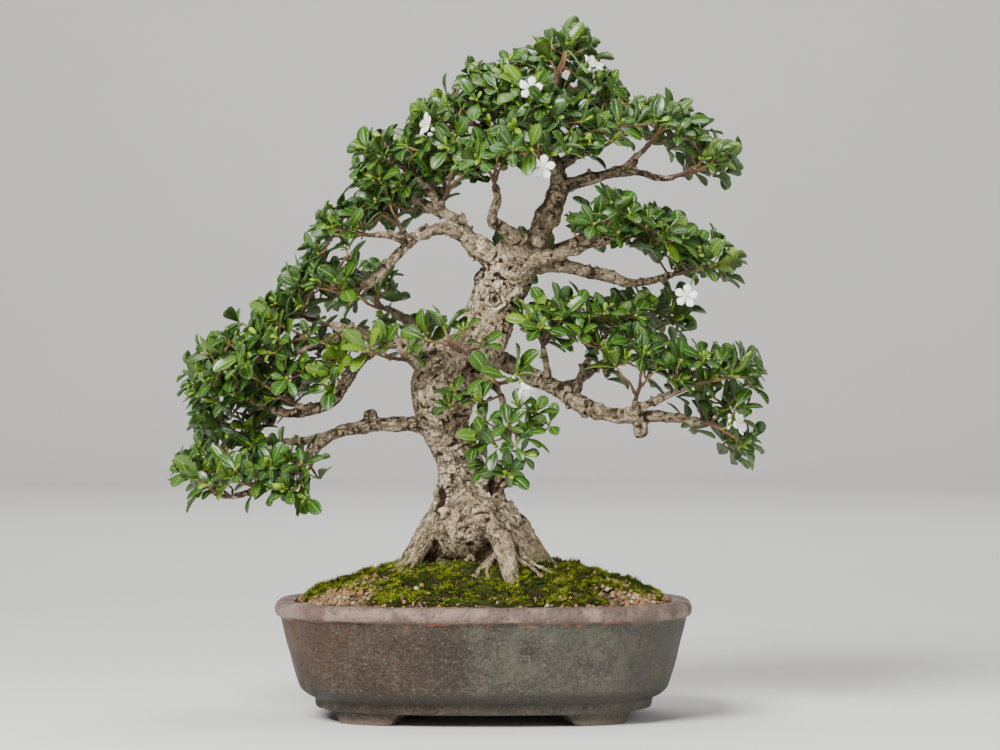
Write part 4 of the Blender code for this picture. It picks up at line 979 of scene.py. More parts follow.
# Whorls of the front shoots: spray and place
FRONT_WHORLS = (
    ("front_upper", -12, -28, 140), ("front_upper", -14, -27, 134), ("front_upper", -1, -33, 136),
    ("front_upper", 15, -43, 134), ("front_upper", 22, -44, 132), ("front_low", 28, -42, 127),
    ("front_low", 1, -35, 128), ("front_shoot", -8, -33, 166), ("front_shoot", 0, -30, 161),
)


class Leaf:
    """One blade: where it grows, which way it points and faces, its size and its age."""

    def __init__(self, root, heading, up, length, youth=0.0, width=LEAF_WIDTHS[0]):
        self.root = np.asarray(root, float)
        self.heading = unit(heading)
        up = np.asarray(up, float)
        self.up = unit(up - self.heading * up.dot(self.heading))
        self.length = length
        self.youth = youth
        self.width = width


class Spray:
    """A leafy spray, read from its plain stand-in: its foot on the wood, its leaves and its whorls."""

    def __init__(self, node, wood):
        self.node = node
        self.name = node.removeprefix("spray_")
        self.points, links, triangles = welded(frame["nodes"][node].data)
        self.leaves = self.find_leaves(links)
        self.foot, self.way = self.find_foot(triangles, wood)
        self.whorls = self.find_whorls()
        self.added = []

    def find_leaves(self, links):
        """Each blade has its midrib and keel just apart, with five corners in common."""
        leaves = []
        tree = KDTree(len(self.points))
        for index, place in enumerate(self.points):
            tree.insert(place, index)
        tree.balance()
        for first, place in enumerate(self.points):
            for _, second, gap in tree.find_range(place, BLADE_THICKNESS + SAME_LENGTH):
                if second <= first or abs(gap - BLADE_THICKNESS) > SAME_LENGTH:
                    continue
                shared = [self.points[corner] for corner in links[first] & links[second]]
                if len(shared) == 5:
                    leaves.append(self.leaf_from(self.points[first], self.points[second], shared))
        return leaves

    def leaf_from(self, first, second, corners):
        """A leaf from the two points in the middle of a blade and the five corners round them."""
        share, lift = BLADE_FOLD
        middle = (first + second) / 2.0
        corners = sorted(corners, key=lambda place: np.linalg.norm(place - middle))
        tip = corners.pop()
        corners.sort(key=lambda place: np.linalg.norm(place - tip))
        wide, near = (corners[0] + corners[1]) / 2.0, (corners[2] + corners[3]) / 2.0
        if np.linalg.norm(wide - first) < np.linalg.norm(wide - second):
            midrib, keel = first, second
        else:
            midrib, keel = second, first
        up = unit(midrib - keel)
        along = wide - near
        along = along - up * along.dot(up)
        length = np.linalg.norm(along) / 0.38
        root = midrib - unit(along) * share * length - up * lift
        return Leaf(root, along, up, length)

    def find_foot(self, triangles, wood):
        """The small flat end nearest the wood, and the way the stem leaves it."""
        edge = TWIG_RADIUS * math.sqrt(3.0)
        best = None
        for corners in triangles:
            a, b, c = self.points[corners]
            sides = (np.linalg.norm(a - b), np.linalg.norm(b - c), np.linalg.norm(c - a))
            if max(abs(side - edge) for side in sides) > 0.05:
                continue
            middle = (a + b + c) / 3.0
            gap = wood.find_nearest(middle)[3]
            if best is None or gap < best[0]:
                best = (gap, middle, -unit(np.cross(b - a, c - a)))
        return best[1], best[2]

    def find_whorls(self):
        """Groups of leaves that grow from the end of one shoot."""
        groups = []
        for leaf in self.leaves:
            near = [group for group in groups
                    if any(np.linalg.norm(other.root - leaf.root) < 2.5 for other in group)]
            merged = [leaf] + [other for group in near for other in group]
            groups = [group for group in groups if not any(group is other for other in near)]
            groups.append(merged)
        groups.sort(key=lambda group: tuple(np.round(group[0].root, 3)))
        return [Whorl(np.mean([leaf.root for leaf in group], 0),
                      unit(np.mean([leaf.heading for leaf in group], 0)), group) for group in groups]


class Whorl:
    """Leaves round the end of one shoot."""

    def __init__(self, place, way, leaves, deep=False):
        self.place, self.way, self.leaves, self.deep = place, way, leaves, deep


def welded(mesh):
    """A stand-in's points in the pot's millimetres, the neighbours of each, and its triangles."""
    places = (vectors_of(mesh.vertices, "co") - POT_MIDDLE) / MM
    _, first, index = np.unique(np.round(places, 3), axis=0, return_index=True, return_inverse=True)
    points = places[first]
    index = index.ravel()
    links = [set() for _ in points]
    triangles = []
    for face in mesh.polygons:
        corners = [int(index[corner]) for corner in face.vertices]
        triangles.append(corners)
        for here, after in zip(corners, corners[1:] + corners[:1]):
            links[here].add(after)
            links[after].add(here)
    return points, links, triangles


def read_sprays():
    """All sprays of the frame, with the stand-in of the tree to find their feet on."""
    points, _, triangles = welded(frame["nodes"]["tree"].data)
    wood = BVHTree.FromPolygons(points.tolist(), triangles)
    names = sorted(name for name in frame["nodes"] if name.startswith("spray_"))
    return [Spray(name, wood) for name in names]


def turned_frame(facing):
    """Two directions across a facing."""
    facing = unit(facing)
    across = np.array(Vector(facing).orthogonal().normalized())
    return facing, across, np.cross(facing, across)


def rosette(place, way, count, lengths, rng):
    """Leaves spread round the end of a shoot, with their upper sides along it."""
    way, across, beside = turned_frame(way)
    start = rng.uniform(0.0, math.tau)
    leaves = []
    for index in range(count):
        out = spoke(across, beside, start + index * GOLDEN_TURN + rng.uniform(-0.25, 0.25))
        lean = math.radians(rng.uniform(50.0, 84.0))
        heading = spoke(way, out, lean) + UP * rng.uniform(-0.1, 0.15)
        up = way + np.array((rng.uniform(-0.3, 0.3), rng.uniform(-0.3, 0.3), 0.25))
        root = place + way * rng.uniform(-1.6, 0.3) + out * 0.5
        leaves.append(Leaf(root, heading, up, rng.uniform(*lengths), width=rng.uniform(*LEAF_WIDTHS)))
    return leaves


def bud_leaves(place, way, rng):
    """The small pale leaves in the middle of a whorl."""
    way, across, beside = turned_frame(way)
    start = rng.uniform(0.0, math.tau)
    leaves = []
    for index in range(rng.choice((2, 3, 3, 4))):
        out = spoke(across, beside, start + index * BUD_TURN + rng.uniform(-0.3, 0.3))
        lean = math.radians(rng.uniform(15.0, 58.0))
        heading = spoke(way, out, lean)
        root = place + way * rng.uniform(0.2, 1.2) + out * 0.3
        leaves.append(Leaf(root, heading, way - heading * 0.3 + out * 0.1, rng.uniform(3.0, 6.4),
                           rng.uniform(0.6, 1.0), rng.uniform(0.42, 0.52)))
    return leaves


def hides_wood(place):
    """True for a place in front of wood that is seen between the pads."""
    return place[1] < 4.0 and any(x0 < place[0] < x1 and z0 < place[2] < z1
                                  for x0, z0, x1, z1 in OPEN_PLACES)


def strayed(place, rng, *spans):
    """A place shifted at random along x, y and z."""
    return place + np.array([rng.uniform(*span) for span in spans])


def fill_crown(sprays, wood, count, rng):
    """More whorls in the gaps between the leaves of one spray and those of its neighbours."""
    spots = np.array([leaf.root + leaf.heading * leaf.length * 0.4
                      for spray in sprays for leaf in spray.leaves])
    owners = np.array([index for index, spray in enumerate(sprays) for _ in spray.leaves])
    front = np.array([sprays[index].name in FRONT_SPRAYS for index in owners])
    weights = np.array((1.0, 1.0, LEVEL_WEIGHT))
    tree = KDTree(len(spots))
    for index, spot in enumerate(spots):
        tree.insert(spot * weights, index)
    tree.balance()
    near = [np.array([item[1] for item in tree.find_range(spot * weights, NEIGHBOUR_REACH)])
            for spot in spots]
    near = [others[front[others] == front[index]] for index, others in enumerate(near)]
    middles = np.array([spray.points.mean(0) for spray in sprays])
    flowers = np.array([bloom[1] for bloom in BLOOMS.values()], float)
    looks = np.array([unit(bloom[2]) for bloom in BLOOMS.values()])
    taken = [whorl.place for spray in sprays for whorl in spray.whorls]
    for name, *place in FRONT_WHORLS:
        place = np.array(place, float)
        way = unit(np.array((rng.uniform(-0.5, 0.5), -0.6, 0.7)))
        leaves = rosette(place, way, rng.choice((3, 4, 4)), (7.0, 10.5), rng)
        spray = next(item for item in sprays if item.name == name)
        spray.added.append(Whorl(place, way, leaves))
        taken.append(place)
    found = 0
    for _ in range(count * TRIES):
        if found == count:
            break
        first = rng.randrange(len(spots))
        second = int(rng.choice(near[first]))
        place = spots[first] + (spots[second] - spots[first]) * rng.uniform(0.1, 0.9)
        place = strayed(place, rng, (-2.0, 2.0), (-3.0, 3.0), (-2.0, 1.5))
        deep = not front[first] and rng.random() < DEEP_SHARE
        if deep:
            place = strayed(place, rng, (-5.0, 5.0), (12.0, 30.0), (-3.0, 4.0))
        x0, z0, x1, z1 = FRONT_PLACE
        if front[first]:
            if rng.random() < 0.2 or not (x0 < place[0] < x1 and z0 < place[2] < z1):
                continue
        elif hides_wood(place):
            continue
        if abs(place[1]) >= CROWN_DEPTH:
            continue
        if (np.linalg.norm(np.array(taken) - place, axis=1) < WHORL_ROOM).any():
            continue
        if (np.linalg.norm(wood[:, :3] - place, axis=1) < wood[:, 3] + WOOD_ROOM).any():
            continue
        if (np.linalg.norm(flowers + looks * 5.0 - place, axis=1) < FLOWER_ROOM).any():
            continue
        spray = sprays[owners[first] if rng.random() < 0.5 else owners[second]]
        taken.append(place)
        out = unit((place - np.array(CROWN_HEART)) * (1.0, 1.0, 0.0))
        way = unit(out * 0.7 + unit(place - middles[sprays.index(spray)]) * 0.6
                   + np.array((rng.uniform(-0.3, 0.3), rng.uniform(-0.5, 0.1), 0.6)))
        leaves = rosette(place, way, rng.choice((3, 4, 4, 5)), (6.6, 12.4), rng)
        spray.added.append(Whorl(place, way, leaves, deep))
        found += 1


def kept_inside(leaf):
    """Shorten a leaf whose tip would leave the frame's own box."""
    low, high = (np.array(corner) / MM - POT_MIDDLE / MM for corner in CAD_BOX)
    tip = leaf.root + leaf.heading * leaf.length
    over = np.maximum(np.maximum(low - tip, tip - high), 0.0).max()
    leaf.length = max(leaf.length - over * 1.5, 4.0)
    return leaf


def leaf_rows(count):
    """Shares of the length at which a blade has a row of points, closer near the tip."""
    even = np.linspace(0.0, 1.0, count + 1)[:-1]
    return 1.0 - (1.0 - even) ** 1.45


def blade_outline(share):
    """Half width of a blade at a share of its length, as a share of its greatest."""
    swell = np.sin(math.pi * np.clip(share, 0.0, 1.0) ** OUTLINE_POWER) ** TIP_POWER
    stalk = smoothstep(0.04, 0.3, share)
    return np.maximum(swell * (0.35 + 0.65 * stalk), 0.075 * (share < 0.9))


def leaf_mesh(leaves, fold, rng, rows=LEAF_ROWS, across=LEAF_COLUMNS):
    """Points, faces and stored values of many closed blades."""
    shares = leaf_rows(rows)
    outline = blade_outline(shares)
    across = np.array(across)
    columns = len(across)
    per_row = columns + 1
    points, layers = [], {"leaf_across": [], "leaf_along": [], "leaf_youth": [], "leaf_tone": []}
    for leaf in leaves:
        side = np.cross(leaf.heading, leaf.up)
        half = 0.5 * leaf.width * leaf.length
        cup = fold * rng.uniform(0.35, 1.25) * leaf.length / FULL_LEAF
        droop = rng.uniform(-0.02, 0.12) * leaf.length
        twist = rng.uniform(-0.22, 0.22)
        phase = rng.uniform(0.0, 6.28)
        spine = LEAF_ARCH * np.sin(math.pi * shares * 0.8) * leaf.length / FULL_LEAF - droop * shares ** 2.6
        wide = outline * half
        x = across[None, :] * wide[:, None]
        z = cup * np.abs(across) ** 1.25 * outline[:, None] + spine[:, None]
        z = z + 0.16 * np.sin(shares[:, None] * 9.0 + phase + 2.0 * across) * across ** 2 * outline[:, None]
        z = z + twist * x * shares[:, None]
        y = np.repeat(shares[:, None] * leaf.length, columns, 1)
        rib = 0.36 * (1.0 - 0.45 * shares)
        grid = (leaf.root + x[..., None] * side + y[..., None] * leaf.heading + z[..., None] * leaf.up)
        under = (leaf.root + (shares * leaf.length)[:, None] * leaf.heading
                 + (spine - rib - 0.06)[:, None] * leaf.up)
        blade = np.concatenate([grid, under[:, None, :]], 1).reshape(-1, 3)
        rise = LEAF_ARCH * math.sin(0.8 * math.pi) * leaf.length / FULL_LEAF - droop
        tip = leaf.root + leaf.heading * leaf.length + leaf.up * rise
        points.append(np.vstack([blade, tip]))
        layers["leaf_across"].append(np.append(np.tile(np.append(across, 0.0), len(shares)), 0.0))
        layers["leaf_along"].append(np.append(np.repeat(shares, per_row), 1.0))
        count = len(blade) + 1
        layers["leaf_youth"].append(np.full(count, leaf.youth))
        layers["leaf_tone"].append(np.full(count, rng.random()))
    layers = {key: np.concatenate(values) for key, values in layers.items()}
    return np.vstack(points), *leaf_faces(len(leaves), len(shares), columns), layers


def leaf_faces(count, rows, columns):
    """Faces of many blades with the same grid, and which of them are undersides."""
    per_row = columns + 1
    one, under = [], []
    for row in range(rows - 1):
        low, high = row * per_row, (row + 1) * per_row
        for column in range(columns - 1):
            one.append((low + column, low + column + 1, high + column + 1, high + column))
            under.append(0.0)
        one.append((low + columns, low, high, high + columns))
        one.append((low + columns - 1, low + columns, high + columns, high + columns - 1))
        under += [1.0, 1.0]
    last, tip = (rows - 1) * per_row, rows * per_row
    for column in range(columns - 1):
        one.append((last + column, last + column + 1, tip))
        under.append(0.0)
    one += [(last + columns, last, tip), (last + columns - 1, last + columns, tip)]
    one.append(tuple(range(columns, -1, -1)))
    under += [1.0, 1.0, 1.0]
    size = rows * per_row + 1
    faces = [tuple(corner + leaf * size for corner in face) for leaf in range(count) for face in one]
    return faces, under * count


def make_sprays(sprays, settings, materials):
    """Leaves and twigs of every spray."""
    limbs, _ = make_limbs(sprays)
    wood = np.vstack([limb.rows for limb in limbs])[::2]
    fill_crown(sprays, wood, settings.rosettes, random.Random("crown"))
    for spray in sprays:
        rng = random.Random("spray " + spray.name)
        for whorl in spray.whorls:
            young = rng.random() < YOUNG_WHORLS and spray.name not in FRONT_SPRAYS
            for leaf in whorl.leaves:
                leaf.youth = rng.uniform(0.25, 0.6) if young else rng.uniform(0.0, 0.18)
                leaf.width = rng.uniform(*LEAF_WIDTHS)
        twigs, whorls = grow_twigs(spray, wood)
        leaves, buds = [], []
        for whorl in whorls:
            if whorl.deep:
                buds += [kept_inside(leaf) for leaf in whorl.leaves]
                continue
            leaves += whorl.leaves
            if rng.random() < settings.young_share:
                buds += bud_leaves(whorl.place, whorl.way, rng)
        leaves = [kept_inside(leaf) for leaf in leaves]
        parts = [leaf_mesh(leaves, settings.fold / MM, rng)]
        if buds:
            parts.append(leaf_mesh(buds, settings.fold / MM, rng, BUD_ROWS, BUD_COLUMNS))
        points, faces = joined([part[:2] for part in parts])
        layers = {key: np.concatenate([part[3][key] for part in parts]) for key in parts[0][3]}
        layers["leaf_under"] = np.concatenate([part[2] for part in parts])
        new_piece("leaves_" + spray.name, points, faces, materials["leaf"], "foliage", (spray.node,),
                  layers)
        new_piece("twigs_" + spray.name, *twigs[:2], materials["twig"], "bark", (),
                  {"twig_youth": twigs[2]})


TWIG_SIDES = 5


def grow_twigs(spray, wood):
    """Thin shoots from the spray's foot or the wood to each whorl, browner at their start."""
    shapes, youth, reached, stems = [], [], [], []
    order = sorted(spray.whorls, key=lambda whorl: np.linalg.norm(whorl.place - spray.foot))
    order += sorted(spray.added, key=lambda whorl: np.linalg.norm(whorl.place - spray.foot))
    for number, whorl in enumerate(order):
        own = number < len(spray.whorls)
        if own:
            start, way, first = spray.foot - spray.way * 0.8, spray.way, 0.95
        else:
            spots = np.vstack(stems + [wood])
            gaps = np.linalg.norm(spots[:, :3] - whorl.place, axis=1)
            behind = (whorl.place - spots[:, :3]) @ whorl.way
            gaps += 0.6 * np.maximum(5.0 - gaps, 0.0) + 0.5 * np.maximum(2.0 - behind, 0.0)
            near = int(np.argmin(gaps))
            if gaps[near] > TWIG_REACH:
                continue
            start, first = spots[near, :3], 0.6
            way = unit(whorl.place - start + UP * 2.0)
        reached.append(whorl)
        path = bent_path(start, way, whorl.place, whorl.way, (first, 0.42), 8 if own else 5)
        wobble = drift_at(path[:, :3], 4.0, number * 7.0, 19.0)
        ends = np.sin(np.linspace(0.0, math.pi, len(path)))[:, None]
        path[:, :3] += wobble * ends * 1.1
        path = smooth_path(path, 2.0)
        path[:, 3] *= 1.0 + 0.16 * np.sin(np.arange(len(path)) * 1.9 + number)
        stems.append(path)
        shapes.append(tube(path, TWIG_SIDES))
        age = np.linspace(0.0 if own else 0.25, 1.0, len(path))
        youth.append(np.append(np.repeat(age, TWIG_SIDES), (age[0], age[-1])))
        if whorl.deep:
            continue
        bud = np.array([(*whorl.place, 0.5), (*(whorl.place + whorl.way * 0.9), 0.7),
                        (*(whorl.place + whorl.way * 1.8), 0.15)])
        shapes.append(tube(bud, TWIG_SIDES))
        youth.append(np.full(3 * TWIG_SIDES + 2, 1.3))
    return (*joined(shapes), np.concatenate(youth)), reached


# Flowers

COROLLA_RADIUS = 5.4
COROLLA_DEPTH = 3.4
PETAL_ROWS = 12
PETAL_COLUMNS = 9
BUDS = {"top": 5, "left": 2, "low_right": 3, "centre": 2, "crown": 1, "front": 1}
WHITE, THROAT, GREEN = 0.0, 0.5, 1.0      # places in the flower's colours


def petal_shape(middle, facing, across, beside, turn, closed, rng):
    """One closed petal, narrow at its base and rounded at its end."""
    way = spoke(across, beside, turn)
    side = np.cross(facing, way)
    share = np.linspace(0.0, 1.0, PETAL_ROWS)
    width = np.sin(math.pi * np.clip(share * 0.97 + 0.03, 0.0, 1.0) ** 1.7) ** 0.62 * 0.3
    width = width + 0.05 * (1.0 - share)
    over = np.linspace(-1.0, 1.0, PETAL_COLUMNS)
    bend = rng.uniform(-0.5, 0.7)
    reach = (0.1 + 0.9 * share * (1.0 - 0.3 * closed)) * COROLLA_RADIUS
    lift = -1.1 * (1.0 - share) ** 2.2 + bend * share ** 2 + closed * 3.0 * share ** 1.3
    layers = []
    for drop in (0.0, -0.22):
        x = over[None, :] * (width * COROLLA_RADIUS)[:, None]
        z = lift[:, None] - 0.35 * over[None, :] ** 2 * share[:, None] + drop
        z = z + 0.12 * np.sin(over[None, :] * 5.0 + turn * 3.0) * share[:, None]
        y = reach[:, None] * np.ones(len(over)) - 0.35 * over[None, :] ** 2 * share[:, None] ** 2
        layers.append(middle + x[..., None] * side + y[..., None] * way + z[..., None] * facing)
    top, low = (layer.reshape(-1, 3) for layer in layers)
    count = PETAL_ROWS * PETAL_COLUMNS
    faces = []
    for row in range(PETAL_ROWS - 1):
        for column in range(PETAL_COLUMNS - 1):
            here = row * PETAL_COLUMNS + column
            cell = (here, here + PETAL_COLUMNS, here + PETAL_COLUMNS + 1, here + 1)
            faces.append(cell)
            faces.append(tuple(corner + count for corner in reversed(cell)))
    for here, after in grid_rim(PETAL_ROWS, PETAL_COLUMNS):
        faces.append((here, after, after + count, here + count))
    colour = np.tile(np.repeat(np.clip(THROAT - share * 2.4, WHITE, THROAT), PETAL_COLUMNS), 2)
    return np.vstack([top, low]), faces, colour


def rod(start, end, radii, sides):
    """Straight tapering rod."""
    path = np.array([(*(start + (end - start) * t), radii[0] + (radii[1] - radii[0]) * t)
                     for t in np.linspace(0.0, 1.0, 4)])
    return tube(path, sides)


def bud_shape(place, way, size):
    """A closed white bud shaped like a club, with its green cup."""
    shares = np.linspace(0.0, 1.0, 9)
    girth = size * (0.22 + 0.5 * np.sin(math.pi * shares ** 1.6) ** 0.8)
    rows = np.array([(*(place + way * size * 3.4 * s), g) for s, g in zip(shares, girth)])
    rows[-1, 3] = size * 0.12
    club = tube(rows, 10)
    cup = tube(np.array([(*(place - way * 0.3), 0.3), (*(place + way * 0.7 * size), size * 0.42),
                         (*(place + way * 1.3 * size), size * 0.46)]), 8)
    return club, cup


def make_bloom(name, sprays, material):
    """Petals, stamens, cup, stalk and buds of the flowers at one place."""
    home, middle, facing = BLOOMS[name]
    rng = random.Random("bloom " + name)
    middle = np.array(middle, float)
    facing, across, beside = turned_frame(facing)
    shapes, colours = [], []

    def add(shape, colour):
        shapes.append(shape)
        colours.append(np.full(len(shape[0]), colour) if np.isscalar(colour) else colour)

    for petal in range(5):
        points, faces, colour = petal_shape(middle, facing, across, beside,
                                            petal * math.tau / 5.0, float(name == "front"), rng)
        add((points, faces), colour)
    throat = np.array([(*(middle - facing * COROLLA_DEPTH), 0.75), (*(middle - facing * 2.2), 0.9),
                       (*(middle - facing * 1.35), 1.15), (*(middle - facing * 0.95), 1.3)])
    add(tube(throat, 14), 0.12)
    for stamen in range(5):
        out = spoke(across, beside, (stamen + 0.5) * math.tau / 5.0)
        top = middle + out * 1.15 + facing * 0.75
        add(rod(middle - facing * 1.2 + out * 0.6, top, (0.13, 0.1), 5), 0.25)
        add(rod(top - out * 0.15, top + out * 0.4 + facing * 0.15, (0.24, 0.2), 6), 0.75)
    add(rod(middle - facing * 1.2, middle + facing * 0.9, (0.28, 0.2), 7), 0.8)
    cup_start = middle - facing * (COROLLA_DEPTH + 0.8)
    cup = np.array([(*cup_start, 0.5), (*(cup_start + facing * 0.8), 1.05),
                    (*(cup_start + facing * 1.8), 1.2)])
    add(tube(cup, 12), GREEN)
    spray = next(item for item in sprays if item.name == home)
    base = min((whorl.place for whorl in spray.whorls),
               key=lambda place: np.linalg.norm(place - cup_start))
    stalk = bent_path(base, unit(cup_start - base) + UP * 0.4, cup_start, facing, (0.45, 0.4), 12)
    add(tube(stalk, 7), GREEN)
    for _ in range(BUDS.get(name, 0)):
        spread = spoke(across, beside, rng.uniform(0.0, math.tau))
        way = unit(facing * 0.7 + spread * 0.8 + UP * 0.5)
        place = cup_start + spread * rng.uniform(2.0, 4.6) + UP * rng.uniform(-1.0, 2.2)
        club, cup = bud_shape(place, way, rng.uniform(0.8, 1.25))
        add(club, 0.1)
        add(cup, GREEN)
        foot = stalk[len(stalk) // 2, :3]
        add(tube(bent_path(foot, unit(place - foot), place, way, (0.38, 0.32), 8), 6), GREEN)
    points, faces = joined(shapes)
    new_piece("flower_" + name, points, faces, material, "petal", ("bloom_" + name,),
              {"flower_part": np.concatenate(colours)})


# Pot

POT_SEGMENTS = 200
SHARP_ANGLE = 38.0            # edges bent farther than this stay sharp
DRAIN_SIDES = 40
POT_CREASES = (-70.0, -8.5, 40.0, 72.0)  # shallow upright dents in the wall, along x


def pot_outline():
    """Outer and inner wall of the pot as (inset from the lip's edge, height)."""
    outer = ((20.0, FLOOR_UNDER), (17.8, 5.5), (17.2, 7.0), (17.1, 8.6), (16.2, 9.9), (14.3, 10.7),
             (12.6, 11.9), (10.4, 14.6), (8.0, 22.5), (5.8, 31.0), (3.9, 38.0), (2.5, 43.3),
             (2.0, 44.3), (0.8, 45.0), (0.1, 46.4), (0.0, 48.0), (0.5, 49.6), (1.6, 50.7),
             (3.0, RIM_HEIGHT))
    inner = ((RIM_BAND - 1.6, RIM_HEIGHT), (RIM_BAND - 0.4, 50.5), (RIM_BAND, 49.4), (13.0, 31.0),
             (20.0, FLOOR_TOP))
    return outer, inner


def pot_rings(rows, around):
    """Points on ovals inside the pot's lip, each given as (inset, height)."""
    angles = np.arange(around) * math.tau / around
    rings = []
    for inset, height in rows:
        x, y = oval(POT_LENGTH - 2.0 * inset, POT_WIDTH - 2.0 * inset, angles)
        rings.append(np.stack([x, y, np.full_like(x, height)], 1))
    return np.stack(rings)


def pot_loft(relief):
    """Wall and floor of the pot, uneven as if made by hand."""
    outer, inner = pot_outline()
    fine = smooth_path(np.array([(inset, 0.0, height, 0.0) for inset, height in outer]), 1.1)[:, (0, 2)]
    rings = pot_rings([*fine, *inner], POT_SEGMENTS)
    flat = rings.reshape(-1, 3)
    out = unit(flat * (1.0, 1.0, 0.0))
    wear = layered_noise(flat, (0.65, 26.0, 4.0), (0.36, 9.0, 8.0), (0.14, 3.0, 2.0))
    creases = np.zeros(len(flat))
    for x in POT_CREASES:
        creases += np.exp(-((flat[:, 0] - x - 2.0 * noise_at(flat, 20.0, x)) / 3.0) ** 2)
    wall = smoothstep(9.0, 16.0, flat[:, 2]) * (1.0 - smoothstep(41.0, 45.0, flat[:, 2]))
    shift = wear - 0.7 * creases * wall
    outside = np.repeat(np.arange(len(rings)) < len(fine), POT_SEGMENTS)
    level = np.where(flat[:, 2] > 47.0, 0.35 * noise_at(flat * (1, 1, 0), 15.0, 6.0), 0.0)
    flat = flat + out * (relief * np.where(outside, shift - 0.5, 0.0))[:, None]
    flat[:, 2] += relief * np.minimum(level, 0.0)
    return flat, stack_faces(len(rings), POT_SEGMENTS)


def foot_loft(side_x, side_y):
    """One bracket foot, with soft edges."""
    reach = POT_LENGTH / 2.0 - 19.0
    slimmer = (POT_LENGTH - POT_WIDTH) / 2.0
    steps = 22
    heights = np.array((0.0, 0.5, 1.4, 3.0, 4.6, FLOOR_UNDER + 1.5))
    shrinks = np.array((3.0, 2.5, 2.1, 1.5, 0.7, 0.0))
    rings = []
    for height, shrink in zip(heights, shrinks):
        ring = []
        for depth in (shrink, FOOT_DEPTH - 0.4 * shrink):
            row = []
            for share in np.linspace(0.0, 1.0, steps):
                x = FOOT_SPAN[0] + shrink * 1.6 + share * (FOOT_SPAN[1] - FOOT_SPAN[0] - 2.6 * shrink)
                drop = max(1.0 - (x / reach) ** OVAL_POWER, 0.0) ** (1.0 / OVAL_POWER)
                soft = 1.2 * (abs(2.0 * share - 1.0) ** 6)
                inward = soft if depth == shrink else -soft
                row.append((side_x * (x - 0.35 * (depth - shrink)),
                            side_y * ((reach - slimmer) * drop - depth - inward), height))
            ring += row if depth == shrink else row[::-1]
        rings.append(ring)
    points = np.array(rings)
    points[..., 0] += 0.2 * np.sin(points[..., 1] * 0.9)
    count = points.shape[1]
    ends = [tuple(range(count)), tuple(range((len(rings) - 1) * count, len(rings) * count))]
    return points.reshape(-1, 3), ends + band_faces(len(rings), count)


def closed_object(name, points, faces):
    """Temporary closed object in the pot's millimetres, with its faces pointing out."""
    mesh = bpy.data.meshes.new(name)
    mesh.from_pydata(np.asarray(points, float).tolist(), [], faces)
    shell = bmesh.new()
    shell.from_mesh(mesh)
    bmesh.ops.recalc_face_normals(shell, faces=shell.faces)
    if shell.calc_volume(signed=True) < 0.0:
        bmesh.ops.reverse_faces(shell, faces=shell.faces)
    shell.to_mesh(mesh)
    shell.free()
    return linked(name, mesh)


def carve(body, tools, operation):
    """Join the tools to the body or cut them from it, and remove them."""
    group = bpy.data.collections.new("tools")
    for tool in tools:
        group.objects.link(tool)
    step = body.modifiers.new("carve", "BOOLEAN")
    step.operation, step.operand_type, step.collection = operation, "COLLECTION", group
    step.solver = "EXACT"
    mesh = applied(body)
    body.modifiers.clear()
    body.data = mesh
    for tool in tools:
        bpy.data.objects.remove(tool, do_unlink=True)
    bpy.data.collections.remove(group)


def make_pot(settings, material):
    """The pot with its four feet and two drainage holes."""
    body = closed_object("pot_body", *pot_loft(settings.unevenness / MM))
    carve(body, [closed_object("foot", *foot_loft(x, y)) for x in (-1, 1) for y in (-1, 1)], "UNION")
    holes = []
    for x in (-DRAIN_OFFSET, DRAIN_OFFSET):
        path = [(x, 0.0, height, DRAIN_RADIUS) for height in (FLOOR_UNDER - 3.0, FLOOR_TOP + 3.0)]
        holes.append(closed_object("drain", *tube(path, DRAIN_SIDES)))
    carve(body, holes, "DIFFERENCE")
    mesh = body.data
    move_points(mesh, vectors_of(mesh.vertices, "co"))
    bpy.data.objects.remove(body, do_unlink=True)
    dressed("pot_shell", mesh, material, ("pot",))
    mesh.set_sharp_from_angle(angle=math.radians(SHARP_ANGLE))


# Soil, grit and moss

# Where each cushion starts and ends round the mound, in 32nds of a turn, and the shares of the way
# out between which the moss lies
MOSS_CELLS = {"moss_front": (17.3, 30.7), "moss_right": (30.2, 39.8), "moss_left": (7.3, 17.8)}
MOSS_SHARES = (0.34, 0.965)
BARE_PLACES = ((-60.0, -38.0, 22.0), (60.0, -37.0, 16.0))  # grit shows here: x, y and reach
CELLS = 32.0
CELL_TURN = math.tau / CELLS
SHOOT_CELLS = 29.0            # the setting counts the shoots on this many cells
MOSS_GRID = (11, 44)          # columns of points for each cell, and rows
SOIL_GRID = (220, 54)
GRAIN_SIZES = (0.7, 0.8, 1.0, 1.2, 1.5, 2.3)
GRAIN_KINDS = 14
WALL_ROOM = 0.012             # share of the way out that stays free of most grains, at the wall
GRIT_REACH = 0.985            # no grain farther out
LEAST_COVER = 0.12            # moss shoots need that much cushion under them
UPRIGHT_LEAN = 0.05           # of the first leaf of each shoot, the others lean out farther


def make_soil(material):
    """Rough soil that fills the pot, crumbly on top."""
    around, outward = SOIL_GRID
    angles = np.arange(around) * math.tau / around
    shares = np.linspace(1.0, 0.3, outward)
    top = np.stack([mound_place(share, angles) for share in shares])
    flat = top.reshape(-1, 3)
    rough = layered_noise(flat, (0.7, 7.0, 3.0), (0.55, 2.6, 5.0), (0.35, 1.2, 8.0))
    crumbs, _ = cells_at(flat, 2.3, 1.0)
    edge = np.repeat(np.arange(outward) > 0, around)
    flat[:, 2] += np.where(edge, rough + 0.5 * (0.5 - crumbs), 0.0)
    points = np.vstack([*pot_rings(((20.6, FLOOR_TOP + 0.3), (13.6, 31.0)), around), flat])
    faces = stack_faces(len(points) // around, around)
    new_piece("soil_bed", points, faces, material, "soil", ("soil",))


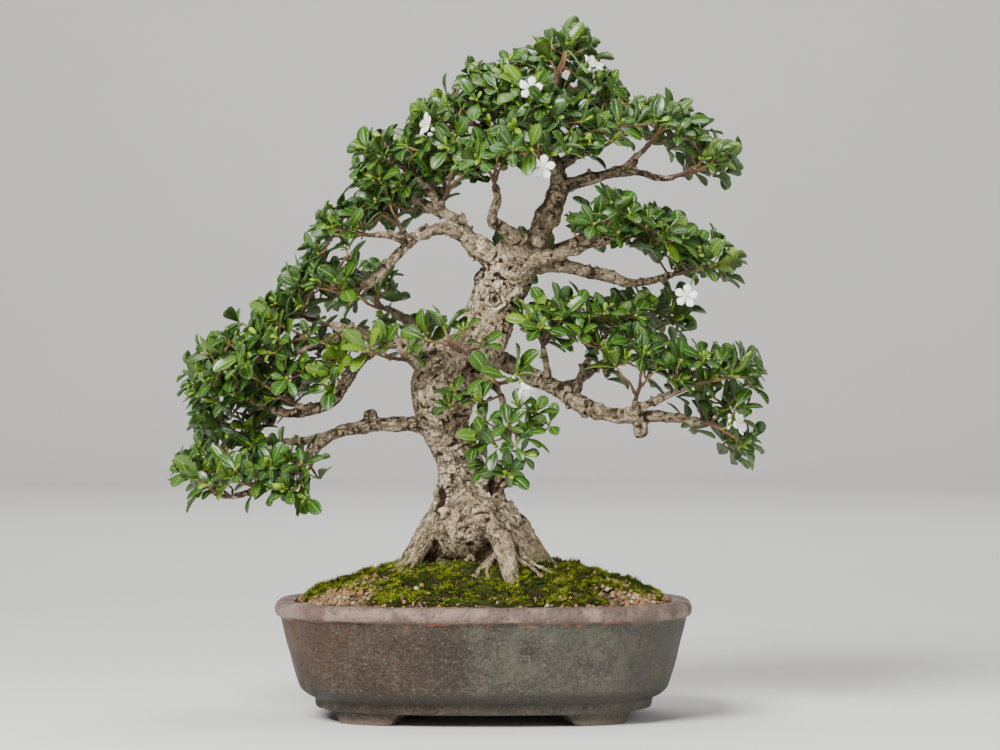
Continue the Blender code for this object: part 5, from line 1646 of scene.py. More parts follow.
def pebble(rng):
    """An angular little grain as points and faces, about one across."""
    ball = bmesh.new()
    bmesh.ops.create_icosphere(ball, subdivisions=1, radius=0.56)
    seed = rng.uniform(0.0, 100.0)
    points = np.array([vert.co[:] for vert in ball.verts])
    faces = [tuple(vert.index for vert in face.verts) for face in ball.faces]
    ball.free()
    points *= 1.0 + 0.42 * noise_at(points, 0.55, seed)[:, None]
    for _ in range(2):
        cut = unit(np.array([rng.gauss(0, 1) for _ in range(3)]))
        over = np.maximum(points @ cut - rng.uniform(0.22, 0.4), 0.0)
        points -= over[:, None] * cut
    return points * (rng.uniform(0.8, 1.2), rng.uniform(0.8, 1.1), rng.uniform(0.6, 0.9)), faces


def make_grit(settings, material):
    """Bare grains of grit, most of them along the lip in front."""
    rng = random.Random("grit")
    kinds = [pebble(rng) for _ in range(GRAIN_KINDS)]
    shapes, tones = [], []
    for _ in range(settings.grains):
        kind = rng.random()
        if kind < 0.4:
            angle = math.atan2(-rng.uniform(26.0, 50.0), -rng.uniform(34.0, 74.0))
            share = 1.0 - abs(rng.gauss(0.0, 0.12)) - WALL_ROOM
        elif kind < 0.62:
            angle = math.atan2(-rng.uniform(26.0, 48.0), rng.uniform(42.0, 70.0))
            share = 1.0 - abs(rng.gauss(0.0, 0.09)) - WALL_ROOM
        elif kind < 0.88:
            angle, share = rng.uniform(0.0, math.tau), 1.0 - abs(rng.gauss(0.0, 0.03)) - WALL_ROOM
        else:
            angle, share = rng.uniform(0.0, math.tau), rng.uniform(0.45, 0.95)
        size = rng.choice(GRAIN_SIZES) * rng.uniform(0.85, 1.15)
        place = mound_place(np.array(min(share, GRIT_REACH)), np.array(angle)).reshape(3)
        place[2] += size * rng.uniform(0.05, 0.35) + 0.3 + 1.6 * moss_cover(share, angle)
        points, faces = rng.choice(kinds)
        spin = Vector((rng.gauss(0, 1), rng.gauss(0, 1), rng.gauss(0, 1))).normalized()
        turn = np.array(Vector((0, 0, 1)).rotation_difference(spin).to_matrix())
        shapes.append((points @ turn.T * size + place, faces))
        tones.append(np.full(len(points), rng.random()))
    points, faces = joined(shapes)
    new_piece("grit", points, faces, material, "soil", (), {"grain_tone": np.concatenate(tones)})


def moss_height(flat):
    """Height of the moss over the soil, in little cushions with gaps between them."""
    _, edge = cells_at(flat * (1.0, 1.0, 0.6), 8.5, 13.0)
    cushion = smoothstep(0.0, 0.45, edge) ** 0.7
    _, rim = cells_at(flat, 3.2, 3.0)
    lumps = smoothstep(0.0, 0.5, rim)
    broad = noise_at(flat, 16.0, 11.0)
    return 0.1 + 2.5 * cushion * (0.75 + 0.7 * broad) + 0.9 * lumps * cushion


def mound_flat(share, column):
    """Level places on the mound, for patterns that stay the same in every piece."""
    inset = 2.0 * (RIM_BAND + WALL_GAP)
    x, y = oval(POT_LENGTH - inset, POT_WIDTH - inset, np.asarray(column) * CELL_TURN)
    return np.stack([x * share, y * share, 0.0 * x], -1)


def moss_fade(share, column, first, last):
    """How fully the moss covers a place: ragged at the edges of its patch."""
    inward = smoothstep(MOSS_SHARES[0], MOSS_SHARES[0] + 0.05, share)
    outward = 1.0 - smoothstep(MOSS_SHARES[1] - 0.015, MOSS_SHARES[1], share)
    flat = mound_flat(share, column)
    strays = column + 0.5 * noise_at(flat, 5.0, 31.0)
    ends = smoothstep(first + 0.1, first + 0.4, strays) * (1.0 - smoothstep(last - 0.4, last - 0.1, strays))
    ragged = smoothstep(-0.55, -0.25, noise_at(flat, 6.0, 77.0))
    bare = sum(1.0 - smoothstep(0.6, 1.0, np.hypot(flat[..., 0] - x, flat[..., 1] - y) / reach)
               for x, y, reach in BARE_PLACES) * smoothstep(0.74, 0.82, share)
    return inward * outward * ends * ragged * (1.0 - np.clip(bare, 0.0, 1.0))


def moss_cover(share, angle):
    """How fully any of the moss covers one place."""
    share, column = np.array([share]), np.array([angle / CELL_TURN % CELLS])
    return max(moss_fade(share, column + turn, *ends)[0]
               for ends in MOSS_CELLS.values() for turn in (0.0, CELLS))


def make_moss(name, settings, material):
    """Cushions of moss with a fur of small pointed shoots."""
    first, last = MOSS_CELLS[name]
    rng = random.Random(name)
    around, outward = int((last - first) * MOSS_GRID[0]), MOSS_GRID[1]
    columns, shares = np.linspace(first, last, around), np.linspace(*MOSS_SHARES, outward)
    grid_column, grid_share = np.meshgrid(columns, shares)
    flat = np.stack([mound_place(share, columns * CELL_TURN) for share in shares]).reshape(-1, 3)
    cover = moss_fade(grid_share.ravel(), grid_column.ravel(), first, last)
    lift = moss_height(flat) * cover + 0.5 * noise_at(flat, 1.3, 9.0) * cover
    top, low = flat.copy(), flat.copy()
    sunk = 2.2 * (1.0 - smoothstep(0.0, 0.2, cover))
    top[:, 2] += 0.35 + np.maximum(lift, 0.0) - sunk
    low[:, 2] += 0.05 - 1.2 * sunk
    count = len(flat)
    faces = []
    for row in range(outward - 1):
        for column in range(around - 1):
            here = row * around + column
            cell = (here, here + 1, here + around + 1, here + around)
            faces += [tuple(reversed(cell)), tuple(corner + count for corner in cell)]
    for here, after in grid_rim(outward, around):
        faces.append((here, here + count, after + count, after))
    tuft_points, tuft_faces, tones, tips = moss_shoots(settings, first, last, rng)
    points = np.vstack([top, low, tuft_points])
    faces += [tuple(corner + 2 * count for corner in face) for face in tuft_faces]
    # Painted shade: low places of the cushions are darker than their high places.
    shade = smoothstep(0.3, 2.2, lift)
    layers = {"moss_tip": np.concatenate([shade * 0.15, np.zeros(count), tips]),
              "moss_tone": np.concatenate([np.full(2 * count, 0.5), tones])}
    new_piece(name + "_cushion", points, faces, material, "moss", (name,), layers)


def moss_shoots(settings, first, last, rng):
    """Small stars of pointed leaves, as closed spikes."""
    count = int(settings.shoots * (last - first) / SHOOT_CELLS)
    spots = []
    for _ in range(count):
        share = rng.uniform(MOSS_SHARES[0] ** 3, MOSS_SHARES[1] ** 3) ** (1.0 / 3.0)
        spots.append((share, rng.uniform(first, last)))
    spots = np.array(spots)
    flat = np.stack([mound_place(np.array(share), np.array(column * CELL_TURN)).reshape(3)
                     for share, column in spots])
    cover = moss_fade(spots[:, 0], spots[:, 1], first, last)
    lift = moss_height(flat)
    kept = np.nonzero(cover > LEAST_COVER)[0]
    points, tones, tips = [], [], []
    for index in kept:
        base = flat[index] + UP * (0.2 + max(lift[index], 0.0) * cover[index])
        spikes = rng.choice((3, 4, 5, 5))
        tone, start = rng.random(), rng.uniform(0.0, math.tau)
        tall = rng.choice((0.8, 1.1, 1.4, 1.8, 2.5)) * rng.uniform(0.85, 1.15) * (0.5 + 0.5 * cover[index])
        for spike in range(spikes):
            turn = start + spike * math.tau / spikes
            out = np.array((math.cos(turn), math.sin(turn), 0.0))
            lean = rng.uniform(0.5, 1.15)
            if spike == 0:
                lean = UPRIGHT_LEAN
            side = np.array((-out[1], out[0], 0.0)) * 0.36
            foot = base + out * 0.12
            tip = base + out * lean * tall + UP * (tall * (1.0 - 0.35 * lean))
            points += [foot + side, foot - side, foot + out * 0.28 - UP * 0.1, tip]
            tones += [tone] * 4
            # Painted shade: the feet of each shoot are darker than its tip, partly their own browner
            # colour.
            tips += [0.22, 0.22, 0.15, 1.0]
    faces = []
    for spike in range(len(points) // 4):
        a = spike * 4
        faces += [(a, a + 1, a + 2), (a, a + 3, a + 1), (a + 1, a + 3, a + 2), (a + 2, a + 3, a)]
    return np.array(points), faces, np.array(tones), np.array(tips)


# Materials

PORE = (0.42, 0.32, 0.22)           # pale pores of the twigs
PETAL_SHADE = (0.75, 0.78, 0.66)
SCREEN_TONES = ((0.012, 0.013, 0.012), (0.035, 0.035, 0.03))
DIRT_SHARE = 0.98                   # of the floor's brightness, in its darker patches


def bark_material(settings):
    """Pale beige bark with brown pits and wrinkles that also carry painted shade, painted highlights on its
    crests, browner on thin wood, and green near the soil.
    """
    net = Finish("old_bark")
    place, grain = net.place(), net.layer("bark_grain", "Vector")
    crack, height, thick = (net.layer("bark_" + key) for key in ("crack", "height", "thick"))
    lined = net.stretched(grain, (0.4, 1.0, 1.0))
    mottle, broad = net.effect("Mottle", place, 130.0, 0.15), net.effect("Mottle", place, 45.0, 0.14)
    streaks = net.noise(lined, 1100.0, 4.0, 0.7)
    wrinkles = net.larger(*(net.effect("Wrinkle", lined, scale) for scale in (360.0, 800.0)))
    pits = net.larger(*(net.effect("Speckle", lined, scale, 0.4) for scale in (520.0, 950.0)))
    plate, plate_edge_shadow = net.effect("Flakes", lined, 400.0)
    chip, chip_edge_shadow = net.effect("Flakes", place, 850.0)
    # Painted shadow: the dark lines round the flakes stand for their shadows.
    edges = net.larger(plate_edge_shadow, net.times(chip_edge_shadow, 0.7))
    # Painted shade: pits, wrinkles and flake edges are darkened, partly their own colour and partly shade.
    dark = net.larger(net.times(pits, 0.8), net.times(wrinkles, 0.85))
    dark = net.larger(dark, net.times(edges, 0.9))
    dark = net.times(dark, net.between(broad, 0.15, 0.7, 0.35, 1.0))
    dark = net.larger(dark, net.between(crack, 0.05, 0.65), clamp=True)
    level = net.plus(net.axis(place, "Z"), net.times(net.noise(place, 120.0), 0.016))
    mossy = net.times(net.between(level, 0.084, 0.070), net.between(net.noise(place, 260.0), 0.4, 0.62))
    base = net.coated(
        net.mix(mottle, settings.shade, settings.pale),
        (net.times(broad, 0.25), settings.grey),
        (net.between(thick, 0.45, 0.1, 0.0, 0.45), settings.brown),
        (net.between(streaks, 0.36, 0.56, 0.6, 0.0), settings.umber_and_shade),
        # Painted highlight: high places of the bark are lighter, besides the wear of its ridges.
        (net.between(height, 0.0, 0.8, 0.0, 0.75), settings.crest_and_highlight),
        # Painted shade: low places of the bark are darker.
        (net.between(height, -0.1, -0.8, 0.0, 0.6), settings.umber_and_shade),
        # Painted highlight: raised plates are lighter.
        (net.between(plate, 0.2, 0.8, 0.0, 0.5), settings.crest_and_highlight),
        # Painted shade: sunken chips are darker.
        (net.between(chip, 0.0, -0.5, 0.0, 0.3), settings.umber_and_shade),
        # Painted shade in cracks and pits, with their own dark colour.
        (dark, settings.pit_and_shade),
        (net.times(mossy, 0.7), settings.stain))
    bump = net.bumps((streaks, 0.0009, 0.9), (plate, 0.0011, 1.0), (chip, 0.0006, 1.0),
                     (net.minus(1.0, net.larger(pits, wrinkles)), 0.0009, 1.0))
    return net.done(base, net.between(mottle, 0.0, 1.0, 0.78, 0.94), bump, 0.3)


def leaf_material(settings):
    """Glossy dark green above and dull pale green below, with a light midrib and fine veins."""
    net = Finish("tea_leaf")
    across, along, youth, tone, under = (net.layer("leaf_" + key)
                                         for key in ("across", "along", "youth", "tone", "under"))
    place = net.place()
    side = net.math("ABSOLUTE", across)
    slant = net.minus(net.times(along, 6.0), net.times(side, 1.6))
    vein = net.between(net.math("SINE", net.times(slant, math.tau)), 0.75, 1.0, 0.0, 0.14)
    rib = net.between(side, 0.14, 0.03)
    light = net.larger(net.larger(net.times(rib, 0.6), vein), net.between(side, 0.9, 1.0, 0.0, 0.3))
    base = net.coated(
        net.mix(tone, settings.deep, settings.green),
        (net.times(net.effect("Mottle", place, 320.0, 0.2), 0.3), settings.green),
        (youth, settings.young),
        (light, settings.rib),
        (net.between(along, 0.16, 0.03), settings.stalk),
        (under, net.mix(youth, settings.under, settings.young)))
    rough = net.plus(net.between(net.noise(place, 700.0), 0.3, 0.7, 0.2, 0.32), net.times(under, 0.28))
    relief = net.minus(net.noise(place, 1500.0, 2.0, 0.5), net.plus(net.times(rib, 1.2), vein))
    return net.done(base, rough, net.bumps((relief, 0.00015, 0.6)), 0.55)


def twig_material(settings):
    """Dark reddish brown shoots that turn orange and then green towards their ends."""
    net = Finish("young_twig")
    place = net.place()
    mottle = net.effect("Mottle", place, 420.0, 0.2)
    age = net.times(net.plus(net.layer("twig_youth"), net.times(mottle, 0.2)), 0.7)
    base = net.ramp(age, ((0.0, settings.twig_old), (0.45, settings.twig_mid), (0.72, settings.twig_end),
                          (0.9, settings.young)))
    base = net.mix(net.times(net.effect("Speckle", place, 1300.0, 0.3), 0.6), base, PORE)
    return net.done(base, net.between(mottle, 0.0, 1.0, 0.5, 0.72),
                    net.bumps((net.noise(place, 1400.0), 0.0003, 0.8)))


def petal_material(settings):
    """Clean white petals, a yellowish green throat, and green cups and stalks."""
    net = Finish("petal")
    veil = net.noise(net.place(), 900.0)
    base = net.ramp(net.layer("flower_part"), ((0.0, settings.petal), (0.18, settings.petal),
                                               (0.5, settings.throat), (0.78, settings.stamen),
                                               (0.92, settings.calyx)))
    base = net.mix(net.between(veil, 0.45, 0.75, 0.0, 0.18), base, PETAL_SHADE)
    return net.done(base, net.between(veil, 0.3, 0.7, 0.42, 0.6), net.bumps((veil, 0.0001, 0.5)))


def stoneware_material(settings):
    """Weathered clay: brown to the left, grey-green to the right, with a pinkish lip and crazing."""
    net = Finish("weathered_stoneware")
    place = net.place()
    x, z = net.axis(place, "X"), net.axis(place, "Z")
    broad, mottle, fine = (net.effect("Mottle", place, scale, contrast)
                           for scale, contrast in ((20.0, 0.2), (75.0, 0.15), (1000.0, 0.14)))
    light, dark, red = (net.effect("Speckle", place, scale, share)
                        for scale, share in ((900.0, 0.05), (700.0, 0.12), (600.0, 0.04)))
    scratches = net.effect("Wrinkle", net.stretched(place, (1.0, 1.0, 0.35)), 260.0)
    scuffs = net.times(net.effect("Wrinkle", net.stretched(place, (0.4, 0.4, 1.0)), 480.0),
                       net.between(z, 0.036, 0.016, 0.25, 0.8))
    warped = net.plus(x, net.times(net.minus(broad, 0.5), 0.05))
    warped = net.plus(warped, net.times(net.minus(mottle, 0.5), 0.03))
    rust = net.times(net.between(warped, -0.03, -0.09), net.between(z, 0.012, 0.042))
    uneven = net.plus(z, net.times(net.minus(mottle, 0.5), 0.0016))
    lip = net.between(uneven, 0.0438, 0.0450)
    worn = net.between(net.plus(broad, mottle), 0.6, 1.4)
    line = net.times(net.between(uneven, 0.0432, 0.0438), net.between(uneven, 0.0447, 0.0440))
    line = net.times(line, net.between(net.noise(place, 110.0), 0.5, 0.62))
    # Painted shade: the groove over the foot is darkened where shade falls.
    groove = net.times(net.between(z, 0.0085, 0.0105), net.between(z, 0.0165, 0.0125))
    low = net.times(net.between(z, 0.03, 0.016), net.between(z, 0.010, 0.0135))
    ends = net.between(net.math("ABSOLUTE", net.minus(x, 0.007)), 0.045, 0.07)
    web = net.between(net.cracks(net.stretched(place, (1.0, 1.0, 1.6)), 330.0), 0.0, 0.06, 1.0, 0.0)
    crazing = net.times(net.times(web, ends), low)
    brown = net.mix(mottle, settings.brown, settings.tan)
    brown = net.mix(net.times(rust, 0.75), brown, settings.rust)
    green = net.mix(mottle, settings.slate, settings.sage)
    base = net.coated(
        net.mix(net.between(warped, -0.05, 0.06), brown, green),
        (net.between(fine, 0.45, 1.0, 0.0, 0.34), settings.dust),
        (net.between(fine, 0.4, 0.0, 0.0, 0.3), settings.grime_and_shade),
        (net.between(broad, 0.55, 0.0, 0.0, 0.25), settings.grime_and_shade),
        (net.times(scratches, 0.3), settings.grime_and_shade),
        (net.times(scuffs, 0.6), settings.dust),
        (net.times(lip, 0.85), net.mix(worn, settings.lip, settings.lip_dark)),
        (net.times(line, 0.75), settings.line),
        # Painted shade in the groove over the foot.
        (net.times(groove, 0.65), settings.grime_and_shade),
        (net.times(net.between(z, 0.0035, 0.0), 0.5), settings.edge),
        (net.times(crazing, 0.4), settings.dust),
        (net.times(dark, 0.65), settings.grime_and_shade),
        (net.times(light, 0.3), settings.chalk),
        (net.times(red, 0.25), settings.line))
    pocks = net.larger(dark, net.larger(net.larger(crazing, scratches), scuffs))
    bump = net.bumps((mottle, 0.001, 0.7), (net.noise(place, 800.0, 4.0, 0.7), 0.0009, 1.0),
                     (net.minus(1.0, pocks), 0.0004, 0.8))
    rough = net.minus(net.between(mottle, 0.0, 1.0, 0.5, 0.74), net.times(lip, 0.14))
    return net.done(base, rough, bump, 0.35)


def soil_material(settings):
    """Dark crumbly soil with paler and redder crumbs."""
    net = Finish("granular_soil")
    place = net.place()
    distance, crumb = net.cells(place, 620.0)
    mottle = net.effect("Mottle", place, 240.0, 0.2)
    base = net.ramp(crumb, ((0.0, settings.soil), (0.55, settings.loam), (0.8, settings.clay),
                            (1.0, settings.sand)), "CONSTANT")
    base = net.mix(net.times(mottle, 0.5), base, settings.soil)
    bump = net.bumps((distance, 0.0012, 0.9), (net.noise(place, 1800.0), 0.0003, 0.7))
    return net.done(base, net.between(mottle, 0.0, 1.0, 0.86, 0.97), bump)


def grit_material(settings):
    """Grains of tan, orange, white and brown stone."""
    net = Finish("grit_stone")
    place = net.place()
    mottle = net.effect("Mottle", place, 900.0, 0.2)
    base = net.ramp(net.layer("grain_tone"), ((0.0, settings.clay), (0.2, settings.sand),
                                              (0.42, settings.ochre), (0.6, settings.chalk),
                                              (0.74, settings.sand), (0.86, settings.loam)), "CONSTANT")
    base = net.mix(net.times(mottle, 0.35), base, settings.loam)
    return net.done(base, net.between(mottle, 0.0, 1.0, 0.7, 0.9),
                    net.bumps((net.noise(place, 2600.0), 0.0002, 0.8)))


def moss_material(settings):
    """Moss that is brown in its depths, with painted shade in its gaps and at the feet of its shoots, green
    above and yellow-green at its tips.
    """
    net = Finish("moss")
    place, tip, tone = net.place(), net.layer("moss_tip"), net.layer("moss_tone")
    fine = net.noise(place, 1500.0, 3.0, 0.7)
    height = net.plus(tip, net.times(net.minus(fine, 0.5), 0.3), clamp=True)
    bright = net.ramp(height, ((0.0, settings.moss_depth_shade), (0.3, settings.moss_green),
                               (0.95, settings.moss_tip)))
    dull = net.ramp(height, ((0.0, settings.moss_depth_shade), (0.4, settings.moss_dark),
                             (1.0, settings.moss_green)))
    share = net.plus(net.times(net.effect("Mottle", place, 95.0, 0.14), 0.7), net.times(tone, 0.3))
    return net.done(net.mix(net.between(share, 0.3, 0.6), dull, bright),
                    net.between(fine, 0.3, 0.7, 0.8, 0.95), net.bumps((fine, 0.0005, 0.9)), 0.15)


def screen_material():
    """Dark plastic mesh."""
    net = Finish("screen_plastic")
    place = net.place()
    mottle = net.effect("Mottle", place, 300.0, 0.2)
    return net.done(net.mix(mottle, *SCREEN_TONES), net.between(mottle, 0.0, 1.0, 0.4, 0.6),
                    net.bumps((net.noise(place, 1200.0), 0.0001, 0.5)))


def floor_material(settings):
    """Plain pale floor."""
    net = Finish("pale_floor")
    tone = net.between(net.noise(net.place(), 3.0), 0.3, 0.7)
    return net.done(net.mix(tone, settings.floor, [value * DIRT_SHARE for value in settings.floor]), 0.85)


# Stage

EYE = (7.1, -1500.0, 147.4)
LENS = 125.1
SENSOR = 36.0
FLOOR_HALF = 4.0              # metres
FLOOR_BACK = 3.2              # where the floor starts to turn up
SWEEP = 0.8                   # radius of that turn
BACKDROP_TOP = 3.0


def make_stage(settings):
    """Floor that turns up into a backdrop, four soft lights, and the camera."""
    mesh = bpy.data.meshes.new("floor")
    rows = [(-FLOOR_HALF, 0.0)]
    rows += [(FLOOR_BACK + SWEEP * math.sin(turn), SWEEP - SWEEP * math.cos(turn))
             for turn in np.linspace(0.0, math.pi / 2.0, 14)]
    rows.append((FLOOR_BACK + SWEEP, BACKDROP_TOP))
    points = [(side * FLOOR_HALF, y, z) for y, z in rows for side in (-1.0, 1.0)]
    faces = [(2 * row, 2 * row + 1, 2 * row + 3, 2 * row + 2) for row in range(len(rows) - 1)]
    mesh.from_pydata(points, [], faces)
    mesh.shade_smooth()
    mesh.materials.append(floor_material(settings))
    floor = linked("floor", mesh)

    tree = Vector((POT_MIDDLE[0], POT_MIDDLE[1], 0.15))
    lights = (("key", (-0.6, -1.1, 1.1), 0.75, settings.key_power, tree),
              ("fill", (1.15, -1.0, 0.55), 1.1, settings.fill_power, tree),
              ("top", (0.1, 0.25, 1.3), 0.8, settings.top_power, tree),
              ("back", (0.0, 1.4, 2.0), 2.0, settings.back_power, Vector((0.0, 3.8, 0.7))))
    for name, place, size, power, target in lights:
        light = bpy.data.lights.new(name, "AREA")
        light.energy = power
        light.shape = "DISK"
        light.size = size
        lamp = linked(name, light)
        lamp.location = place
        lamp.rotation_euler = (target - Vector(place)).to_track_quat("-Z", "Y").to_euler()

    world = bpy.data.worlds.new("studio")
    world.use_nodes = True
    shade = world.node_tree.nodes["Background"]
    shade.inputs["Color"].default_value = rgb(settings.air)
    shade.inputs["Strength"].default_value = settings.air_strength
    bpy.context.scene.world = world

    camera = bpy.data.cameras.new("camera")
    camera.lens = LENS
    camera.sensor_width = SENSOR
    camera.clip_start, camera.clip_end = 0.05, 20.0
    eye = linked("camera", camera)
    eye.location = shifted(EYE)[0]
    eye.rotation_euler = (math.radians(90.0), 0.0, 0.0)
    bpy.context.scene.camera = eye


# Settings, operators and panel

def colour(name, default, description):
    """Setting for a colour."""
    return FloatVectorProperty(name=name, description=description, default=default, subtype="COLOR",
                               size=3, min=0.0, max=1.0)


class WoodSettings(bpy.types.PropertyGroup):
    """Sizes and colours of the bark."""

    grain_size: FloatProperty(name="Grain", description="Finest detail of the trunk's surface",
                              default=0.0006, unit="LENGTH")
    branch_grain: FloatProperty(name="Branch grain", description="Finest detail of the branches",
                                default=0.00085, unit="LENGTH")
    relief: FloatProperty(name="Relief", description="Depth of cracks and pits, 1 for an old tree",
                          default=1.0)
    knobs: IntProperty(name="Knobs", description="Number of pruned buds on the branches", default=190)
    pale: colour("Pale", (0.66, 0.515, 0.32), "Main colour of the bark")
    shade: colour("Shade", (0.40, 0.295, 0.17), "Darker patches of the bark")
    grey: colour("Grey", (0.50, 0.43, 0.34), "Smooth greyish patches")
    brown: colour("Brown", (0.31, 0.225, 0.145), "Thin branches")
    # Lines along the grain, and painted shade in the low places of the bark.
    umber_and_shade: colour("Umber", (0.15, 0.095, 0.048), "Lines along the grain")
    # Worn ridges, and painted highlights on the high places of the bark.
    crest_and_highlight: colour("Crest", (0.90, 0.75, 0.52), "Worn ridges")
    # Cracks and pits: partly their own dark colour, partly painted shade.
    pit_and_shade: colour("Pit", (0.036, 0.020, 0.009), "Cracks and pits")
    stain: colour("Stain", (0.15, 0.17, 0.05), "Green stain near the soil")


class FoliageSettings(bpy.types.PropertyGroup):
    """Sizes and colours of the leaves and twigs."""

    rosettes: IntProperty(name="Rosettes", description="Whorls of leaves that fill the crown", default=820)
    young_share: FloatProperty(name="Young share", description="Share of whorls with young leaves",
                               default=0.7, subtype="FACTOR")
    fold: FloatProperty(name="Fold", description="How far a blade's edges rise over its midrib",
                        default=0.001, unit="LENGTH")
    deep: colour("Deep green", (0.010, 0.040, 0.004), "Darkest leaves")
    green: colour("Green", (0.040, 0.114, 0.008), "Full-grown leaves")
    young: colour("Young green", (0.25, 0.40, 0.020), "Youngest leaves")
    rib: colour("Rib", (0.20, 0.36, 0.07), "Midrib, veins and edge")
    under: colour("Underside", (0.080, 0.145, 0.038), "Underside of the leaves")
    stalk: colour("Leaf stalk", (0.26, 0.25, 0.06), "Stalk of a leaf")
    twig_old: colour("Old twig", (0.060, 0.036, 0.022), "Twigs near the wood")
    twig_mid: colour("Twig", (0.125, 0.060, 0.028), "Reddish twigs")
    twig_end: colour("Twig end", (0.34, 0.20, 0.06), "Twig ends")


class FlowerSettings(bpy.types.PropertyGroup):
    """Colours of the flowers."""

    petal: colour("Petal", (0.95, 0.95, 0.91), "Petals")
    throat: colour("Throat", (0.62, 0.60, 0.10), "Middle of the flower")
    stamen: colour("Stamen", (0.75, 0.42, 0.06), "Stamens")
    calyx: colour("Cup", (0.16, 0.30, 0.05), "Cup and stalk")


class PotSettings(bpy.types.PropertyGroup):
    """Unevenness and colours of the pot."""

    unevenness: FloatProperty(name="Unevenness", description="How far the hand-made wall strays",
                              default=0.0008, unit="LENGTH")
    brown: colour("Brown", (0.025, 0.0135, 0.0075), "Brown clay on the left")
    tan: colour("Tan", (0.056, 0.031, 0.015), "Paler clay")
    rust: colour("Rust", (0.105, 0.047, 0.026), "Reddish corner")
    slate: colour("Slate", (0.042, 0.044, 0.035), "Dark grey-green on the right")
    sage: colour("Sage", (0.092, 0.090, 0.064), "Pale grey-green")
    dust: colour("Dust", (0.18, 0.15, 0.115), "Pale dust and crazing")
    chalk: colour("Chalk", (0.42, 0.37, 0.31), "White specks")
    lip: colour("Lip", (0.32, 0.222, 0.178), "Pinkish lip")
    lip_dark: colour("Lip shade", (0.155, 0.100, 0.080), "Darker stretches of the lip")
    line: colour("Line", (0.34, 0.105, 0.048), "Orange line under the lip")
    # Used for grime and for painted shade in the groove over the foot.
    grime_and_shade: colour("Grime", (0.038, 0.031, 0.027), "Dirt in the groove over the foot")
    edge: colour("Edge", (0.30, 0.225, 0.165), "Worn edges of the feet")


class GroundSettings(bpy.types.PropertyGroup):
    """Soil, grit and moss."""

    grains: IntProperty(name="Grains", description="Number of bare grains of grit", default=1300)
    shoots: IntProperty(name="Moss shoots", description="Number of small stars of moss", default=8700)
    soil: colour("Soil", (0.045, 0.028, 0.016), "Damp soil")
    loam: colour("Loam", (0.13, 0.080, 0.042), "Drier crumbs")
    clay: colour("Clay", (0.23, 0.125, 0.055), "Reddish crumbs")
    sand: colour("Sand", (0.29, 0.175, 0.070), "Sandy grains")
    ochre: colour("Ochre", (0.38, 0.175, 0.055), "Orange grains")
    chalk: colour("Chalk", (0.50, 0.41, 0.27), "White grains")
    # Gaps between cushions: brown depths with painted shade.
    moss_depth_shade: colour("Moss depth", (0.018, 0.014, 0.004), "Gaps between cushions")
    moss_dark: colour("Dark moss", (0.030, 0.042, 0.005), "Dark clumps")
    moss_green: colour("Moss", (0.048, 0.076, 0.004), "Green of the moss")
    moss_tip: colour("Moss tip", (0.34, 0.38, 0.020), "Tips of the moss")


class StageSettings(bpy.types.PropertyGroup):
    """Floor, light and air round the tree."""

    floor: colour("Floor", (0.78, 0.775, 0.76), "Floor")
    air: colour("Air", (0.87, 0.86, 0.83), "Light from all sides")
    air_strength: FloatProperty(name="Air strength", description="Brightness all round", default=0.2)
    key_power: FloatProperty(name="Key", description="Power of the main light", default=52.0,
                             unit="POWER")
    fill_power: FloatProperty(name="Fill", description="Power of the light on the right", default=8.5,
                              unit="POWER")
    top_power: FloatProperty(name="Top", description="Power of the light above", default=9.0,
                             unit="POWER")
    back_power: FloatProperty(name="Back", description="Power of the light on the backdrop",
                              default=52.0, unit="POWER")


class BonsaiSettings(bpy.types.PropertyGroup):
    """Everything that can be changed about the bonsai."""

    wood: PointerProperty(type=WoodSettings)
    foliage: PointerProperty(type=FoliageSettings)
    flowers: PointerProperty(type=FlowerSettings)
    pot: PointerProperty(type=PotSettings)
    ground: PointerProperty(type=GroundSettings)
    stage: PointerProperty(type=StageSettings)


class GrowBark(bpy.types.Operator):
    """Grow the bark of the trunk and roots, and that of the branches"""

    bl_idname = "bonsai.grow_bark"
    bl_label = "Grow bark"

    def execute(self, context):
        settings = context.scene.bonsai.wood
        make_bark(read_sprays(), settings, bark_material(settings))
        return {"FINISHED"}


class GrowFoliage(bpy.types.Operator):
    """Grow the leaves and twigs of every spray"""

    bl_idname = "bonsai.grow_foliage"
    bl_label = "Grow foliage"

    def execute(self, context):
        settings = context.scene.bonsai.foliage
        materials = {"leaf": leaf_material(settings), "twig": twig_material(settings)}
        make_sprays(read_sprays(), settings, materials)
        return {"FINISHED"}


class OpenFlowers(bpy.types.Operator):
    """Open the white flowers and set their buds"""

    bl_idname = "bonsai.open_flowers"
    bl_label = "Open flowers"

    def execute(self, context):
        material = petal_material(context.scene.bonsai.flowers)
        sprays = read_sprays()
        for name in BLOOMS:
            make_bloom(name, sprays, material)
        return {"FINISHED"}


class FirePot(bpy.types.Operator):
    """Make the weathered stoneware pot"""

    bl_idname = "bonsai.fire_pot"
    bl_label = "Fire pot"

    def execute(self, context):
        settings = context.scene.bonsai.pot
        make_pot(settings, stoneware_material(settings))
        return {"FINISHED"}


class FillSoil(bpy.types.Operator):
    """Fill the pot with soil and strew grit on it"""

    bl_idname = "bonsai.fill_soil"
    bl_label = "Fill soil"

    def execute(self, context):
        settings = context.scene.bonsai.ground
        make_soil(soil_material(settings))
        make_grit(settings, grit_material(settings))
        return {"FINISHED"}


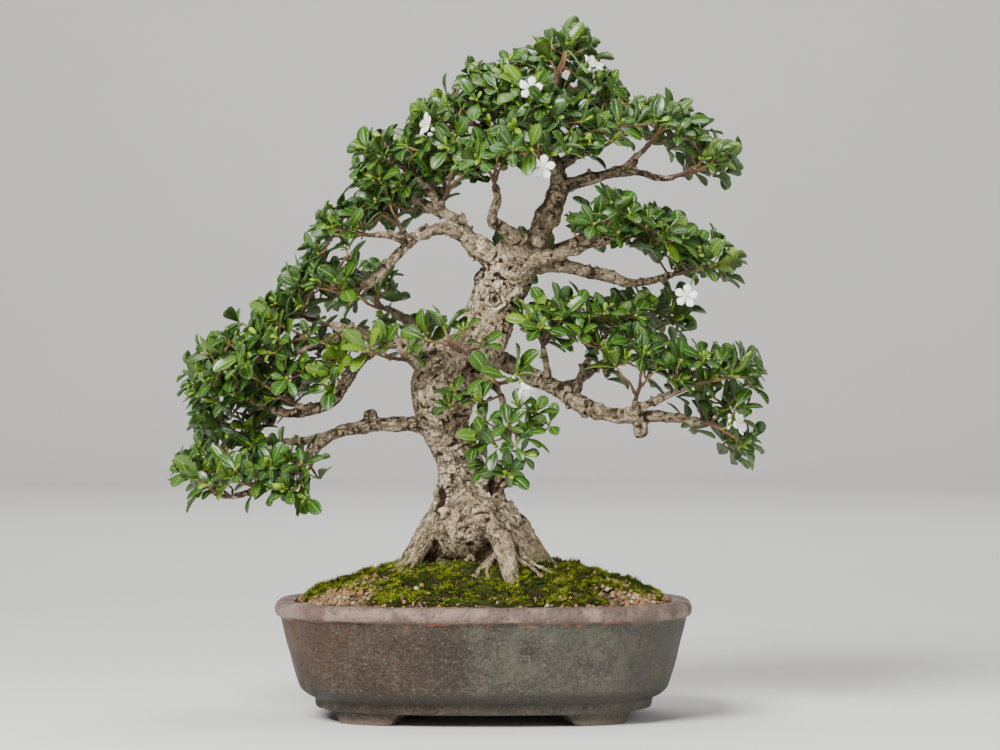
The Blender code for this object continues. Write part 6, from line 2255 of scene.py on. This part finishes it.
class LayMoss(bpy.types.Operator):
    """Lay three cushions of moss round the trunk"""

    bl_idname = "bonsai.lay_moss"
    bl_label = "Lay moss"

    def execute(self, context):
        settings = context.scene.bonsai.ground
        material = moss_material(settings)
        for name in MOSS_CELLS:
            make_moss(name, settings, material)
        return {"FINISHED"}


class FitScreens(bpy.types.Operator):
    """Give the screens over the drainage holes their plastic"""

    bl_idname = "bonsai.fit_screens"
    bl_label = "Fit screens"

    def execute(self, context):
        material = screen_material()
        for side in ("left", "right"):
            screen = frame["nodes"]["drainage_screen_" + side]
            for slot in screen.material_slots:
                slot.material = material
        return {"FINISHED"}


class LightStage(bpy.types.Operator):
    """Lay the floor and set the lights and the camera"""

    bl_idname = "bonsai.light_stage"
    bl_label = "Light stage"

    def execute(self, context):
        make_stage(context.scene.bonsai.stage)
        return {"FINISHED"}


OPERATORS = (GrowBark, GrowFoliage, OpenFlowers, FirePot, FillSoil, LayMoss, FitScreens, LightStage)


class BonsaiPanel(bpy.types.Panel):
    """Sidebar with the steps and the sizes of the bonsai"""

    bl_label = "Fukien Tea Bonsai"
    bl_idname = "VIEW3D_PT_bonsai"
    bl_space_type = "VIEW_3D"
    bl_region_type = "UI"
    bl_category = "Bonsai"

    def draw(self, context):
        settings = context.scene.bonsai
        for step in OPERATORS:
            self.layout.operator(step.bl_idname)
        for key in ("wood", "foliage", "flowers", "pot", "ground", "stage"):
            group = getattr(settings, key)
            box = self.layout.box()
            for name in group.__annotations__:
                box.prop(group, name)


GROUPS = (WoodSettings, FoliageSettings, FlowerSettings, PotSettings, GroundSettings, StageSettings,
          BonsaiSettings)


def register():
    for item in GROUPS + OPERATORS + (BonsaiPanel,):
        bpy.utils.register_class(item)
    bpy.types.Scene.bonsai = PointerProperty(type=BonsaiSettings)


def unregister():
    del bpy.types.Scene.bonsai
    for item in reversed(GROUPS + OPERATORS + (BonsaiPanel,)):
        bpy.utils.unregister_class(item)


def main():
    register()
    bpy.ops.bonsai.light_stage()
    bpy.ops.bonsai.fire_pot()
    bpy.ops.bonsai.fit_screens()
    bpy.ops.bonsai.fill_soil()
    bpy.ops.bonsai.lay_moss()
    bpy.ops.bonsai.grow_bark()
    bpy.ops.bonsai.grow_foliage()
    bpy.ops.bonsai.open_flowers()


if __name__ == "__main__":
    main()
